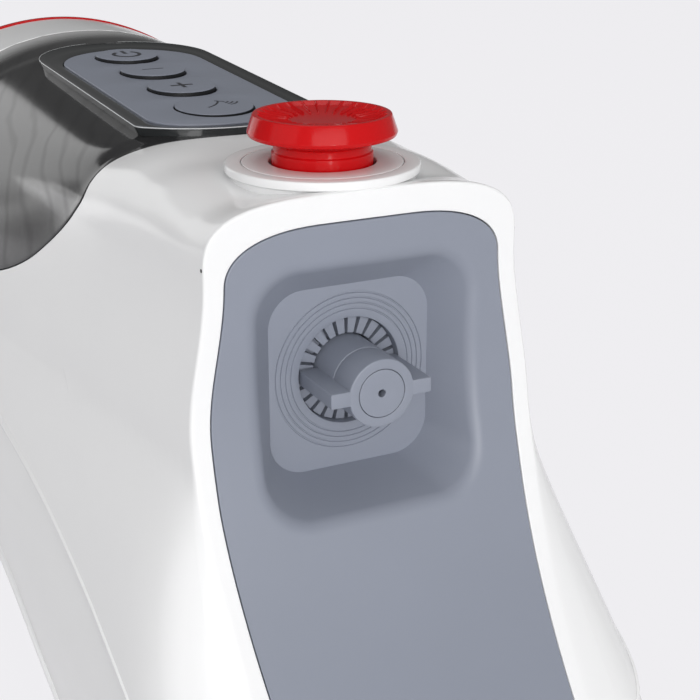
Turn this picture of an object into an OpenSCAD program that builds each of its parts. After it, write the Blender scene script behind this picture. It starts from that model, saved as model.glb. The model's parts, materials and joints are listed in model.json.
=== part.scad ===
// Steam generator of a wallpaper steamer: canister body, filler cap, hose socket and control panel.
// Lengths in mm, Z up, the hose socket faces -Y, the floor is Z = 0.

/* [Body] */
// Height of the collar's top above the floor
deck_z = 190; // [186:1:215]
// Place of the filler axis along the length
cap_y = -91; // [-95:1:-85]
// Thickness of the moulded walls
wall = 2.5; // [2:0.1:3]
// Gap between pieces that don't touch
gap = 0.3; // [0.2:0.05:0.4]
// Front face ahead of the filler axis
face_lead = 25; // [24:0.5:27]
// Half width of the front face under its brow
brow_x = 42.3; // [41:0.1:44]
// Swelling of the lower sides
hip = 26; // [22:1:29]
// Radius of the round rear end
drum_r = 87.6; // [84:0.2:90]
// Height of the drum's centre below the deck
drum_drop = 80; // [78:1:82]
// Length from the filler axis to the rear end
tail_y = 247; // [243:1:250]
// Width of the white rim round the front panel
rim = 5; // [4.4:0.1:5.5]
// Width of that rim along the top
rim_top = 7.2; // [6.5:0.1:8]
// Radius of its inner top corners
rim_r = 15; // [13:0.5:17]
// Front edge of the smoked saddle behind the filler axis
saddle_front = 46.8; // [46:0.1:47]
// Rear edge of the smoked saddle behind the filler axis
saddle_rear = 203; // [198:1:210]

/* [Filler] */
// Largest radius of the red cap
cap_r = 19; // [17:0.25:21]
// Radius of the cap's neck
cap_neck_r = 12.9; // [12:0.1:13.5]
// Height of the cap above the collar
cap_h = 12.1; // [10:0.5:15]
// Ribs on the cap's top
cap_ribs = 28; // [20:1:32]
// Radius of the filler bore
filler_bore_r = 10; // [9:0.25:10.5]
// Clearance of the plug in the filler bore
plug_clear = 0.3; // [0.2:0.05:0.4]
// Engaged length of the plug
plug_l = 12; // [8:0.5:14]
// Outer radius of the collar
collar_r = 24.8; // [24:0.2:27]
// Thickness of the collar's upper step
collar_t = 2.2; // [1.8:0.1:2.6]

/* [Hose socket] */
// Height of the socket axis below the deck
socket_drop = 51.4; // [50:0.2:53]
// Radius of the steam spigot
spigot_r = 8.9; // [8:0.1:9.2]
// Length of the spigot in front of the socket plate
spigot_l = 17.9; // [15:0.5:20]
// Width across the spigot's lugs
lug_span = 27.6; // [25:0.2:27.6]
// Thickness of the lugs
lug_t = 3.9; // [3:0.1:5]
// Radius of the round well in the socket plate
well_r = 14.2; // [14.1:0.1:15]
// Radius of the steam orifice
jet_r = 1; // [0.6:0.1:1.5]
// Recess depth behind the front face
recess_d = 9.7; // [9:0.1:11]
// Half width of the recess at the face
recess_x = 30; // [29:0.2:31]
// Lower and upper edge of the recess, below the deck, and its corner radius
recess_low = -83; // [-84:0.5:-81]
recess_top = -20; // [-21:0.5:-19]
recess_r = 12; // [10:0.5:13]
// Half width, lower and upper edge and corner radius of the recess floor
seat_x = 22.4; // [21.5:0.1:23.5]
seat_low = -77.2; // [-78:0.2:-75]
seat_top = -28.2; // [-29:0.2:-27]
seat_r = 9.5; // [8:0.5:11]

/* [Controls] */
// Radius of the three rear buttons
key_r = 10.4; // [9:0.1:11]
// Radius of the front steam button
steam_key_r = 11.6; // [10:0.1:12]
// Distance between the rear buttons
key_pitch = 27.1; // [26:0.1:27.5]
// Clearance round a button
key_clear = 0.35; // [0.3:0.05:0.45]
// Height of a button above the pad
key_lift = 0.7; // [0.5:0.1:1]
// Half width of the button pad
pad_x = 23.6; // [22.5:0.2:24]
// Half width of the dark bezel
bezel_x = 29.6; // [29:0.2:30.5]

/* [Inside] */
// Radius of the boiler
boiler_r = 38; // [34:0.5:40]
// Half width of the water tank
tank_x = 44; // [38:0.5:46]
// Radius of the pump body
pump_r = 18; // [15:0.5:20]

/* [Handle and feet] */
// Radius of the carrying handle's grip
grip_r = 7; // [6:0.25:7]
// Distance between the handle's arms
grip_span = 81.2; // [76:0.2:84]
// Radius of the hinge pins
pin_r = 4; // [3:0.1:4.5]
// Radial clearance of the arms on the pins
pin_clear = 0.05; // [0.03:0.01:0.1]
// Radius of a rubber foot
foot_r = 10; // [8:0.5:12]
// Height of the tub above the floor
foot_h = 6; // [5:0.5:8]

/* [Hidden] */
$fn = 64;
foot_z = foot_h - deck_z;
brow_top = -2;
side_top = -20;
brow_pow = 2 / 3.5;
drum_z = -drum_drop;
lean = 0.953;
sweep_z = -43;
toe_z = -131;
brow_out = 5.1;
swell_z = -66;
swell_h = 90;
drum_turn = acos((side_top - drum_z) / drum_r);
rim_gap = 0.25;
panel_t = 2.5;
tub_in = 1;
lip_z = foot_z + rim;
plate_y = recess_d - face_lead;
plate_t = 2.4;
collar_h = collar_t + 2.2;
collar_bore = cap_neck_r + 0.7;
hole_r = 20.9;
cap_base = -3.4;
gasket_t = 0.6;
neck_top = cap_base - gasket_t - 2 * gap;
neck_r = filler_bore_r + 2.6;
pad_y0 = 155.95;
drum_top = drum_z + drum_r;
pad_z0 = brow_top + 0.693 * (drum_top - brow_top);
pad_low = -0.01;
keys_y = [0, -key_pitch, -2 * key_pitch, -3 * key_pitch - 0.4];
pad_back = 15.6;
pad_front = -102.4;
pad_bow = 40;
bezel_back = 29.2;
bezel_front = -108.2;
bezel_bow = 46;
bezel_ledge = 2.5;
pad_tilt = atan((pad_z0 - pad_low) / -bezel_front);
bezel_top = 0.1;
bezel_t = 4;
pad_t = 3;
key_flange = 1;
key_travel = 1.2;
board_z = -11.1;
boiler_y = 18;
seam_y = 190;
seam_top = -79;
seam_bend = 0.0009;
arch_y = 110;
arch_top = -128;
arch_bend = 0.005;
belly_x = 50;
feet = [[32, -70], [40, tail_y - 27]];
hinge_y = tail_y + 19.1;
hinge_z = -62;
lug_w = 7;
arm_w = 8;
tail_gap = 0.3;
ring_r = drum_r + 0.9;
dome_r = drum_r - 5.6;
dome_h = 8;
floor_z = foot_z + wall;
tank_z = -22;
tank_floor = -98;
tank_back = 178;
tank_front = 27;
feed_y = 118;
post_x = 36;
post_r = 6;
post_y = [tank_front + 51, tank_back - 13];
nose_x = 19;
nose_floor = -23;
nose_top = -10.3;
nose_back = 50;
tank_half = (tank_back - tank_front) / 2;
valve_y = 8;
valve_z = -78;
lid_z = -106;
flange_z = -139.5;
boiler_floor = -174;
pump_z = -155;
pump_a = 84;
pump_b = 150;

// The body's skin is a formula of s, from the top line round to the foot, and t, from face to tail.
function ease(u) = let (v = min(1, max(0, u))) v * v * (3 - 2 * v);

function face_y(z) = let (u = min(toe_z - foot_z, toe_z - z))
    -face_lead - lean * (z > sweep_z ? 0
        : z > toe_z ? pow(sweep_z - z, 2) / (2 * (sweep_z - toe_z))
        : (sweep_z - toe_z) / 2 + u - u * u / (2 * (toe_z - foot_z)));

function front_x(z) = brow_x + brow_out * ease((side_top - z) / 40)
    - (z < -75 ? 8.7 * pow((-75 - z) / 109, 1.3) : 0);

function rear_x(z) = z > drum_z - 30 ? sqrt(drum_r * drum_r - pow(z - drum_z, 2))
    : let (a = sqrt(drum_r * drum_r - 900)) a + (66 - a) * (drum_z - 30 - z) / 74;

function swell(z) = hip * sin(90 * pow(min(1, max(0, (swell_z - z) / swell_h)), 1.1));
function swell_run(t) = (1 - exp(-t / 0.02)) * pow(1 - t, 0.7);
function lift(t) = ease((t - 0.2) / 0.75);
function dip(t) = 2 * ease(t / 0.06) * (1 - ease((t - 0.17) / 0.1));

function skin(s, t) = let (
        q = pow(min(1, s / 0.4), 1.75),
        low = s > 0.4,
        zl = side_top - (side_top - foot_z) * (s - 0.4) / 0.6,
        z0 = low ? zl : side_top + (brow_top - side_top) * pow(cos(90 * q), brow_pow),
        z1 = low ? zl : drum_z + drum_r * cos(drum_turn * q),
        x0 = low ? front_x(zl) : brow_x * pow(sin(90 * q), brow_pow),
        x1 = low ? rear_x(zl) : drum_r * sin(drum_turn * q),
        z = z0 + (z1 - z0) * lift(t) - (low ? 0 : dip(t) * cos(90 * q)),
        x = x0 * (1 - t) + x1 * t + swell(z) * swell_run(t))
    [x, face_y(z) * (1 - t) + tail_y * t, z];

function unit(v) = v / norm(v);

function skin_normal(s, t) = let (
        sc = min(0.996, max(0.004, s)),
        tc = min(0.9990, max(0.0010, t)),
        ds = skin(sc + 0.004, tc) - skin(sc - 0.004, tc),
        dt = skin(sc, tc + 0.001) - skin(sc, tc - 0.001),
        n = unit(cross(ds, dt)))
    s < 0.004 ? unit([0, n[1], n[2]]) : n;

function side(p, i) = i < 0 ? [-p[0], p[1], p[2]] : p;
function inset(s, t, d) = skin(s, t) - d * skin_normal(s, t);

// Lower edge of the upper shell, and the arched lower edge of the tub's sides.
function seam_z(y) = seam_top - seam_bend * pow(seam_y - y, 2);
function arch_z(y) = max(foot_z, arch_top - arch_bend * pow(arch_y - y, 2));

function seam_s(t, a, b, n) = let (m = (a + b) / 2, p = skin(m, t))
    n == 0 ? m : p[2] > seam_z(p[1]) ? seam_s(t, m, b, n - 1) : seam_s(t, a, m, n - 1);
function arch_s(t, a, b, n) = let (m = (a + b) / 2, p = skin(m, t))
    n == 0 ? m : p[2] > arch_z(p[1]) ? arch_s(t, m, b, n - 1) : arch_s(t, a, m, n - 1);

// Closed solid between two grids of points with m rows and n columns of cells.
function grid_faces(m, n) = let (w = n + 1, k = (m + 1) * w) concat(
    [for (j = [0:m - 1], i = [0:n - 1]) each let (a = j * w + i, c = a + w)
        [[a, c + 1, a + 1], [a, c, c + 1], [k + a, k + a + 1, k + c + 1], [k + a, k + c + 1, k + c]]],
    [for (j = [0:m - 1]) each let (a = j * w, b = a + w)
        [[a, b + k, b], [a, a + k, b + k], [b + n, a + n + k, a + n], [b + n, b + n + k, a + n + k]]],
    [for (i = [0:n - 1]) each let (p = m * w + i)
        [[i + 1, i + k, i], [i + 1, i + 1 + k, i + k], [p, p + 1 + k, p + 1], [p, p + k, p + 1 + k]]]);

module between(a, b) {
    m = len(a) - 1;
    n = len(a[0]) - 1;
    polyhedron(points = [each each a, each each b], faces = grid_faces(m, n), convexity = 10);
}

module put() {
    translate([0, cap_y, deck_z])
        children();
}

// Turns a drawing in Y and Z into a prism along X, and one in X and Z into a prism along Y.
module along_x(w) {
    rotate([90, 0, 90])
        linear_extrude(height = 2 * w, center = true)
            children();
}

module along_y(a, b) {
    translate([0, b, 0])
        rotate([90, 0, 0])
            linear_extrude(height = b - a)
                children();
}

module rod_y(r, a, b) {
    translate([0, a, 0])
        rotate([-90, 0, 0])
            cylinder(r = r, h = b - a);
}

module rod_x(r, a, b) {
    translate([a, 0, 0])
        rotate([0, 90, 0])
            cylinder(r = r, h = b - a);
}

module rod_z(r, a, b) {
    translate([0, 0, a])
        cylinder(r = r, h = b - a);
}

module round_rect(x, za, zb, r) {
    for (m = [-1, 1], z = [za + r, zb - r])
        translate([m * (x - r), z])
            circle(r = r);
    translate([-x, za + r])
        square([2 * x, zb - za - 2 * r]);
    translate([-x + r, za])
        square([2 * x - 2 * r, zb - za]);
}

module panel_frame() {
    translate([0, pad_y0, pad_z0])
        rotate([pad_tilt, 0, 0])
            children();
}

// Outlines of the front face.
function brow_edge(s) = let (p = skin(s, 0)) [p[0], p[2]];
function brow_in(s, d) = let (
        a = brow_edge(min(1, max(0.01, s) + 0.004)),
        b = brow_edge(max(0.006, s - 0.004)),
        n = unit([b[1] - a[1], a[0] - b[0]]),
        p = brow_edge(s))
    s < 0.01 ? [0, p[1] - d] : [max(0, p[0] - d * n[0]), p[1] - d * n[1]];
function side_z(s) = side_top - (s - 0.4) / 0.6 * (side_top - foot_z);

// Inner edge of the rim, drawn in by d: flat top, round corner, then down beside the outline.
rim_z = brow_top - rim_top - rim_r;
rim_s = 0.4 + 0.6 * (side_top - rim_z) / (side_top - foot_z);
rim_cx = front_x(rim_z) - rim - rim_r;
function rim_edge(s, d) = let (
        run = s / rim_s * (rim_cx + rim_r * PI / 2),
        a = (run - rim_cx) / rim_r * 180 / PI)
    s > rim_s ? [front_x(side_z(s)) - rim - d, side_z(s)]
        : a > 0 ? [rim_cx + (rim_r - d) * sin(a), rim_z + (rim_r - d) * cos(a)]
        : [run, brow_top - rim_top - d];

module saddle_side(d) {
    f = saddle_front + d;
    r = saddle_rear - d;
    polygon([[f, 30], [f, -2.4 - d], [f + 1.9, -3.7], [f + 4.4, -8.4], [f + 4.8, -11.5], [f + 4.8, -14.5],
        [f + 5.8, -17.3 + d], [f + 9.3, -21 + d], [f + 15.2, -26.6 + d], [f + 22.7, -32.65 + d],
        [f + 33.7, -40 + d], [f + 43, -44.6 + d], [f + 58, -50 + d], [f + 79, -54.3 + d],
        [f + 109, -58.5 + d], [r, -62 + d], [r, 30]]);
}

// Outline with a round rear end, straight sides and a bowed front, drawn out by d.
module tray_shape(x, back, front, bow, r, d) {
    corner_y = front + bow - sqrt(pow(bow - r, 2) - pow(x - r, 2));
    bow_x = (x - r) * (bow + d) / (bow - r);
    translate([0, back - x])
        circle(r = x + d);
    for (m = [-1, 1])
        translate([m * (x - r), corner_y])
            circle(r = r + d);
    translate([-x - d, corner_y])
        square([2 * (x + d), back - x - corner_y]);
    intersection() {
        translate([0, front + bow])
            circle(r = bow + d);
        translate([-bow_x, front - 1])
            square([2 * bow_x, corner_y + 1 - front]);
    }
}

module bezel_shape(d) {
    tray_shape(bezel_x, bezel_back, bezel_front, bezel_bow, 4, d);
}

module pad_shape(d) {
    tray_shape(pad_x, pad_back, pad_front, pad_bow, 8, d);
}

module bezel_pocket() {
    panel_frame() {
        translate([0, 0, bezel_top - bezel_t - gap])
            linear_extrude(height = 30)
                bezel_shape(gap);
        translate([0, 0, -30])
            linear_extrude(height = 40)
                bezel_shape(-bezel_ledge);
    }
}

module upper_shell() {
    ns = 24;
    nt = 26;
    ts = [for (j = [0:nt]) pow(j / nt, 2)];
    top = [for (t = ts) seam_s(t, 0.4, 1, 16)];
    lip_out = [for (i = [-ns:ns]) let (s = abs(i) / ns * top[0], p = rim_edge(s, 0))
        side([p[0], face_y(p[1]), p[1]], i)];
    lip_in = [for (p = lip_out) [p[0], p[1] + wall, p[2]]];
    outer = [for (j = [0:nt]) [for (i = [-ns:ns]) side(skin(abs(i) / ns * top[j], ts[j]), i)]];
    edge_in = [for (i = [-ns:ns]) let (s = abs(i) / ns * top[0], p = brow_in(s, wall))
        side([p[0], face_y(p[1]) + wall, p[1]], i)];
    inner = [for (j = [5:nt]) [for (i = [-ns:ns]) side(inset(abs(i) / ns * top[j], ts[j], wall), i)]];
    fill = [for (k = [1:5]) [for (i = [0:2 * ns]) edge_in[i] * (1 - k / 6) + inner[0][i] * k / 6]];
    color("white")
        put()
            resize([0, 0, 0])
                difference() {
                    between(concat([lip_out], outer),
                        concat([lip_in, edge_in], [for (k = [0:3]) fill[k]], inner));
                    along_x(120)
                        saddle_side(0);
                    rod_z(hole_r, -20, 10);
                    rod_z(collar_r - 1.4 + gap, -collar_h - 0.2, 10);
                    bezel_pocket();
                }
}

module belly_tub() {
    nt = 24;
    nk = 8;
    ts = [for (j = [0:nt]) 0.004 + 0.994 * pow(j / nt, 1.5)];
    sa = [for (t = ts) seam_s(t, 0.4, 1, 16) + gap / 270];
    sb = [for (t = ts) arch_s(t, 0.4, 1, 16)];
    side_out = [for (j = [0:nt]) [for (k = [0:nk]) inset(sa[j] + (sb[j] - sa[j]) * k / nk, ts[j], tub_in)]];
    side_in = [for (j = [0:nt]) [for (k = [0:nk])
        inset(sa[j] + (sb[j] - wall / 273 - sa[j]) * k / nk, ts[j], tub_in + wall)]];
    floor_out = [for (j = [0:nt]) let (p = side_out[j][nk], x = min(belly_x, p[0] - 6))
        [for (u = [0.5, 1]) [p[0] + (x - p[0]) * u, p[1], p[2] + (foot_z - p[2]) * u]]];
    floor_in = [for (j = [0:nt]) let (p = side_in[j][nk], x = min(belly_x, side_out[j][nk][0] - 6) - 1)
        [for (u = [0.5, 1]) [p[0] + (x - p[0]) * u, p[1], p[2] + (floor_z - p[2]) * u]]];
    lip_x = front_x(lip_z) - rim - 1;
    lip = concat([for (p = side_out[0]) let (z = max(p[2], lip_z))
            [front_x(z) - rim - max(0, lip_z - p[2]) / rim, face_y(z) + tub_in, z]],
        [for (u = [1.8, 3.8]) [lip_x - u, face_y(lip_z) + tub_in, lip_z]]);
    row_out = concat([lip], [for (j = [0:nt]) concat(side_out[j], floor_out[j])]);
    row_in = concat([[for (p = lip) p + [0, wall, 0]]], [for (j = [0:nt]) concat(side_in[j], floor_in[j])]);
    last = nk + 2;
    color("white")
        put()
            between(
                [for (r = row_out) concat([for (k = [0:last]) r[k]], [for (k = [last:-1:0]) side(r[k], -1)])],
                [for (r = row_in) concat([for (k = [0:last]) r[k]], [for (k = [last:-1:0]) side(r[k], -1)])]);
}

module behind_face(t) {
    zs = [for (k = [0:40]) 4 + (lip_z + rim_gap - 4) * k / 40];
    along_x(60)
        polygon(concat([for (z = zs) [face_y(z), z]], [for (k = [40:-1:0]) [face_y(zs[k]) + t, zs[k]]]));
}

module recess_front(d) {
    round_rect(recess_x + d, recess_low - d, recess_top + d, recess_r + d);
}

module recess_back(d) {
    round_rect(seat_x + d, seat_low - d, seat_top + d, seat_r + d);
}

module recess_cut(d) {
    along_y(-60, -face_lead)
        recess_front(d);
    hull() {
        along_y(-face_lead - 0.01, -face_lead)
            recess_front(d);
        along_y(plate_y - gap, plate_y - gap + 0.01)
            recess_back(d);
    }
}

module front_panel() {
    n = 36;
    low = (side_top - lip_z - rim_gap) / (side_top - foot_z) * 0.6 + 0.4;
    half = [for (i = [0:n]) rim_edge(i / n * low, rim_gap)];
    color("slategray")
        put()
            difference() {
                union() {
                    intersection() {
                        behind_face(panel_t);
                        along_y(-100, -10)
                            polygon(concat(half, [for (i = [n:-1:1]) [-half[i][0], half[i][1]]]));
                    }
                    intersection() {
                        recess_cut(2.2);
                        behind_face(40);
                        along_y(-4 * face_lead, plate_y - gap)
                            recess_front(6);
                    }
                }
                recess_cut(0);
                along_y(plate_y - gap - 0.02, plate_y + face_lead)
                    recess_front(6);
            }
}

module socket_plate() {
    color("slategray")
        put()
            difference() {
                union() {
                    along_y(plate_y, plate_y + plate_t)
                        recess_back(1.6);
                    translate([0, 0, -socket_drop])
                        rod_y(well_r + 1.5, plate_y + 0.5, plate_y + 8.8);
                }
                translate([0, 0, -socket_drop])
                    rod_y(well_r, plate_y - 1, plate_y + 20);
                for (r = [16.6, 18, 19.4, 20.8])
                    translate([0, 0, -socket_drop])
                        difference() {
                            rod_y(r + 0.25, plate_y - 1, plate_y + 0.5);
                            rod_y(r - 0.25, plate_y - 2, plate_y + 1);
                        }
            }
}

module louvre_ring() {
    back = plate_y + 8.6;
    color("dimgray")
        put()
            translate([0, 0, -socket_drop])
                difference() {
                    union() {
                        rod_y(well_r - 0.2, back - 1.6, back);
                        for (k = [0:23])
                            rotate([0, k * 15, 0])
                                translate([spigot_r + 0.7, back - 6.6, -1])
                                    cube([well_r - spigot_r - 1.1, 5.6, 2]);
                    }
                    rod_y(spigot_r + gap, back - 20, back + 5);
                }
}

module steam_spigot() {
    tip = plate_y - spigot_l;
    color("slategray")
        put()
            translate([0, 0, -socket_drop])
                difference() {
                    union() {
                        rod_y(spigot_r, tip, plate_y + 9.2);
                        rod_y(spigot_r + 3, plate_y + 8.9, plate_y + 11.9);
                        rod_y(6, plate_y + 11, plate_y + 21);
                        translate([-lug_span / 2, tip, -lug_t / 2])
                            cube([lug_span, spigot_l + 1, lug_t]);
                    }
                    rod_y(6.25, tip - 1, tip + 2.6);
                    rod_y(3, tip, plate_y + 30);
                    difference() {
                        rod_y(spigot_r + 8, tip + 9, tip + 9.6);
                        rod_y(spigot_r - 0.3, tip, tip + 20);
                        translate([-20, tip, -lug_t / 2 - 0.5])
                            cube([40, 20, lug_t + 1]);
                    }
                }
}

module jet_insert() {
    tip = plate_y - spigot_l;
    color("gray")
        put()
            translate([0, 0, -socket_drop])
                difference() {
                    rod_y(6.2, tip - 0.1, tip + 2.5);
                    rod_y(jet_r, tip - 1, tip + 4);
                    difference() {
                        rod_y(4.9, tip - 1, tip + 0.3);
                        rod_y(4.4, tip - 2, tip + 1);
                    }
                }
}

module cap_collar() {
    color("white")
        put()
            rotate_extrude()
                polygon([[18.5, -7.6], [hole_r - 0.4, -7.6], [hole_r - 0.4, -collar_h],
                    [collar_r - 1.4, -collar_h], [collar_r - 1.4, -collar_t], [collar_r, -collar_t],
                    [collar_r, -0.3], [collar_r - 0.3, 0], [20.7, 0], [20.7, -1.2], [18.5, -1.2]]);
}

module collar_insert() {
    color("white")
        put()
            rotate_extrude()
                polygon([[collar_bore, 0], [20.4, 0], [20.4, -1], [18.2, -1], [18.2, -7.2], [16.6, -7.2],
                    [16.6, -1.6], [collar_bore, -1.6]]);
}

module filler_neck() {
    color("silver")
        put()
            difference() {
                union() {
                    rod_z(neck_r, nose_floor + 6, neck_top);
                    rod_z(18.6, -10, -7.6);
                }
                rod_z(filler_bore_r, tank_z - 20, 5);
            }
}

module filler_cap() {
    n = cap_neck_r;
    color("firebrick")
        put()
            union() {
                difference() {
                    rotate_extrude()
                        polygon([[0, cap_base], [n - 0.5, cap_base], [n, cap_base + 0.5], [n, 2.6],
                            [n - 0.5, 3], [n - 0.5, 4.6], [n + 1.5, 5.4], [cap_r - 0.5, 6.8],
                            [cap_r, 7.4], [cap_r - 0.1, 8], [cap_r - 1.5, cap_h - 0.5],
                            [cap_r - 2, cap_h], [cap_r - 2.7, cap_h], [cap_r - 3.6, cap_h - 0.5],
                            [cap_r - 6, cap_h - 1.3], [cap_r - 11, cap_h - 2], [0, cap_h - 2.2]]);
                    rod_z(6.05, cap_base - 1, cap_base + 2.6);
                }
                for (k = [0:cap_ribs - 1])
                    rotate([0, 0, k * 360 / cap_ribs])
                        translate([cap_r - 13.6, -0.45, cap_h - 3.2])
                            rotate([0, -4, 0])
                                cube([10, 0.9, 1.7]);
            }
}

module cap_plug() {
    color("gray")
        put()
            union() {
                rod_z(filler_bore_r - plug_clear, cap_base - plug_l, cap_base - 0.3);
                rod_z(6, cap_base - 1, cap_base + 2.5);
            }
}

module cap_gasket() {
    color("black")
        put()
            difference() {
                rod_z(neck_r - 0.2, cap_base - gap - gasket_t, cap_base - gap);
                rod_z(filler_bore_r + 0.3, -20, 5);
            }
}

module smoked_saddle() {
    ns = 17;
    nt = 20;
    ts = [for (j = [0:nt]) 0.18 + 0.68 * j / nt];
    outer = [for (t = ts) [for (i = [-ns:ns]) side(skin(abs(i) / ns * 0.62, t), i)]];
    inner = [for (t = ts) [for (i = [-ns:ns]) side(inset(abs(i) / ns * 0.62, t, wall - 0.3), i)]];
    color("dimgray", 0.6)
        put()
            resize([0, 0, 0])
                difference() {
                    intersection() {
                        between(outer, inner);
                        along_x(120)
                            saddle_side(gap);
                    }
                    bezel_pocket();
                }
}

module control_bezel() {
    color("black")
        put()
            panel_frame()
                translate([0, 0, bezel_top - bezel_t])
                    linear_extrude(height = bezel_t)
                        difference() {
                            bezel_shape(0);
                            pad_shape(gap);
                        }
}

module key_hole(r) {
    circle(r = r + key_clear);
    translate([0, -1.3])
        circle(r = r + 0.1);
}

module button_pad() {
    color("slategray")
        put()
            panel_frame()
                union() {
                    translate([0, 0, -pad_t])
                        linear_extrude(height = pad_t)
                            difference() {
                                pad_shape(0);
                                for (k = [0:3])
                                    translate([0, keys_y[k]])
                                        key_hole(k == 3 ? steam_key_r : key_r);
                            }
                    for (m = [-1, 1], y = [-90, -67, 2])
                        translate([m * 18.5, y, board_z + 0.05])
                            cylinder(r = 2.2, h = -board_z - pad_t + 0.5);
                }
}

module button(k, r) {
    put()
        panel_frame()
            translate([0, keys_y[k], 0])
                union() {
                    rod_z(r, -pad_t - 1.6, key_lift);
                    rod_z(r + key_flange, -pad_t - 1.6, -pad_t - 0.4);
                    rod_z(2, -pad_t - 3, -pad_t - 1);
                }
}

module power_button() {
    color("slategray")
        button(0, key_r);
}

module minus_button() {
    color("slategray")
        button(1, key_r);
}

module plus_button() {
    color("slategray")
        button(2, key_r);
}

module steam_button() {
    color("slategray")
        button(3, steam_key_r);
}

module control_board() {
    color("darkgreen")
        put()
            panel_frame()
                translate([-21, pad_front + 3, board_z - 1.6])
                    cube([42, pad_back - pad_front - 9, 1.6]);
}

module button_switches() {
    color("black")
        put()
            panel_frame()
                for (y = keys_y)
                    translate([-3, y - 3, board_z + 0.02])
                        cube([6, 6, -board_z - pad_t - 3 - key_travel - gap]);
}

module water_tank() {
    color("lightblue", 0.5)
        put()
            difference() {
                union() {
                    translate([0, tank_front + tank_half, tank_floor])
                        linear_extrude(height = tank_z - tank_floor)
                            round_rect(tank_x, -tank_half, tank_half, 12);
                    translate([-nose_x, -neck_r - 4, nose_floor])
                        cube([2 * nose_x, nose_back + neck_r + 4, nose_top - nose_floor]);
                    translate([0, feed_y, 0])
                        rod_z(7, tank_floor - 5, tank_floor + 1);
                }
                translate([0, tank_front + tank_half, tank_floor + 2])
                    linear_extrude(height = tank_z - tank_floor - 4)
                        round_rect(tank_x - 2, 2 - tank_half, tank_half - 2, 10);
                translate([-nose_x + 2, -neck_r - 2, nose_floor + 2])
                    cube([2 * nose_x - 4, nose_back + neck_r, nose_top - nose_floor - 4]);
                translate([-nose_x + 4, tank_front + 4, tank_z - 8])
                    cube([2 * nose_x - 8, nose_back - tank_front - 8, 12]);
                rod_z(neck_r + 0.2, nose_top - 5, 0);
                translate([0, feed_y, 0])
                    rod_z(4.05, tank_floor - 10, tank_floor + 5);
            }
}

module tank_posts() {
    color("gray")
        put()
            for (m = [-1, 1], y = post_y)
                translate([m * post_x, y, 0])
                    rod_z(post_r, floor_z + 0.1, tank_floor - 0.1);
}

module feed_tube() {
    color("lightgray")
        put()
            translate([0, feed_y, 0])
                difference() {
                    rod_z(4, pump_z + pump_r + 0.6, tank_floor - 0.5);
                    rod_z(2.5, pump_z, tank_floor + 5);
                }
}

module pump() {
    color("silver")
        put()
            difference() {
                union() {
                    translate([0, 0, pump_z])
                        rod_y(pump_r, pump_a, pump_b);
                    translate([0, feed_y, pump_z])
                        rod_z(7, 5, pump_r + 5);
                    translate([0, 0, pump_z])
                        rod_y(7, pump_a - 5, pump_a + 5);
                }
                translate([0, feed_y, pump_z])
                    rod_z(4.05, pump_r + 0.5, pump_r + 10);
                translate([0, 0, pump_z])
                    rod_y(4.05, pump_a - 10, pump_a - 0.5);
            }
}

module pump_cradle() {
    color("gray")
        put()
            difference() {
                translate([-14, pump_a + 8, floor_z + 0.1])
                    cube([28, pump_b - pump_a - 16, pump_z - floor_z - 6]);
                translate([0, 0, pump_z])
                    rod_y(pump_r + 0.2, pump_a - 10, pump_b + 10);
            }
}

module delivery_tube() {
    color("lightgray")
        put()
            translate([0, 0, pump_z])
                difference() {
                    rod_y(4, boiler_y + boiler_r + 1.5, pump_a - 0.6);
                    rod_y(2.5, boiler_y, pump_a + 10);
                }
}

module boiler_upper() {
    color("silver")
        put()
            difference() {
                union() {
                    translate([0, boiler_y, 0])
                        rod_z(boiler_r, flange_z + 0.5, lid_z - 3);
                    translate([0, boiler_y, 0])
                        rod_z(boiler_r - 1.5, lid_z - 4, lid_z);
                    translate([0, boiler_y, 0])
                        rod_z(boiler_r + 8, flange_z + 0.5, flange_z + 3.5);
                    translate([0, valve_y, 0])
                        rod_z(9, lid_z - 1, lid_z + 4);
                }
                translate([0, boiler_y, 0])
                    rod_z(boiler_r - 3, flange_z - 1, lid_z - 3);
                translate([0, valve_y, 0])
                    rod_z(5.05, lid_z - 10, lid_z + 10);
                translate([-17, boiler_y + 12, 0])
                    rod_z(5.05, lid_z - 10, lid_z + 10);
                translate([0, boiler_y, 0])
                    for (k = [0:5])
                        rotate([0, 0, k * 60 + 30])
                            translate([boiler_r + 4, 0, 0])
                                rod_z(2.6, flange_z - 1, flange_z + 10);
            }
}

module boiler_lower() {
    color("silver")
        put()
            difference() {
                union() {
                    translate([0, boiler_y, 0])
                        rod_z(boiler_r, boiler_floor, flange_z - 0.5);
                    translate([0, boiler_y, 0])
                        rod_z(boiler_r + 8, flange_z - 3.5, flange_z - 0.5);
                    translate([0, 0, pump_z])
                        rod_y(8, boiler_y + boiler_r - 6, boiler_y + boiler_r + 6);
                }
                translate([0, boiler_y, 0])
                    rod_z(boiler_r - 3, boiler_floor + 3, flange_z + 10);
                translate([0, 0, pump_z])
                    rod_y(4.05, boiler_y + boiler_r + 1, boiler_y + boiler_r + 20);
                translate([0, 0, pump_z])
                    rod_y(2.5, boiler_y + 20, boiler_y + boiler_r + 20);
                translate([0, boiler_y, 0])
                    for (k = [0:5])
                        rotate([0, 0, k * 60 + 30])
                            translate([boiler_r + 4, 0, 0])
                                rod_z(2.6, flange_z - 10, flange_z + 10);
            }
}

module boiler_gasket() {
    color("black")
        put()
            translate([0, boiler_y, 0])
                difference() {
                    rod_z(boiler_r + 7.5, flange_z - 0.45, flange_z + 0.45);
                    rod_z(boiler_r - 2, flange_z - 10, flange_z + 10);
                    for (k = [0:5])
                        rotate([0, 0, k * 60 + 30])
                            translate([boiler_r + 4, 0, 0])
                                rod_z(2.6, flange_z - 10, flange_z + 10);
                }
}

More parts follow.
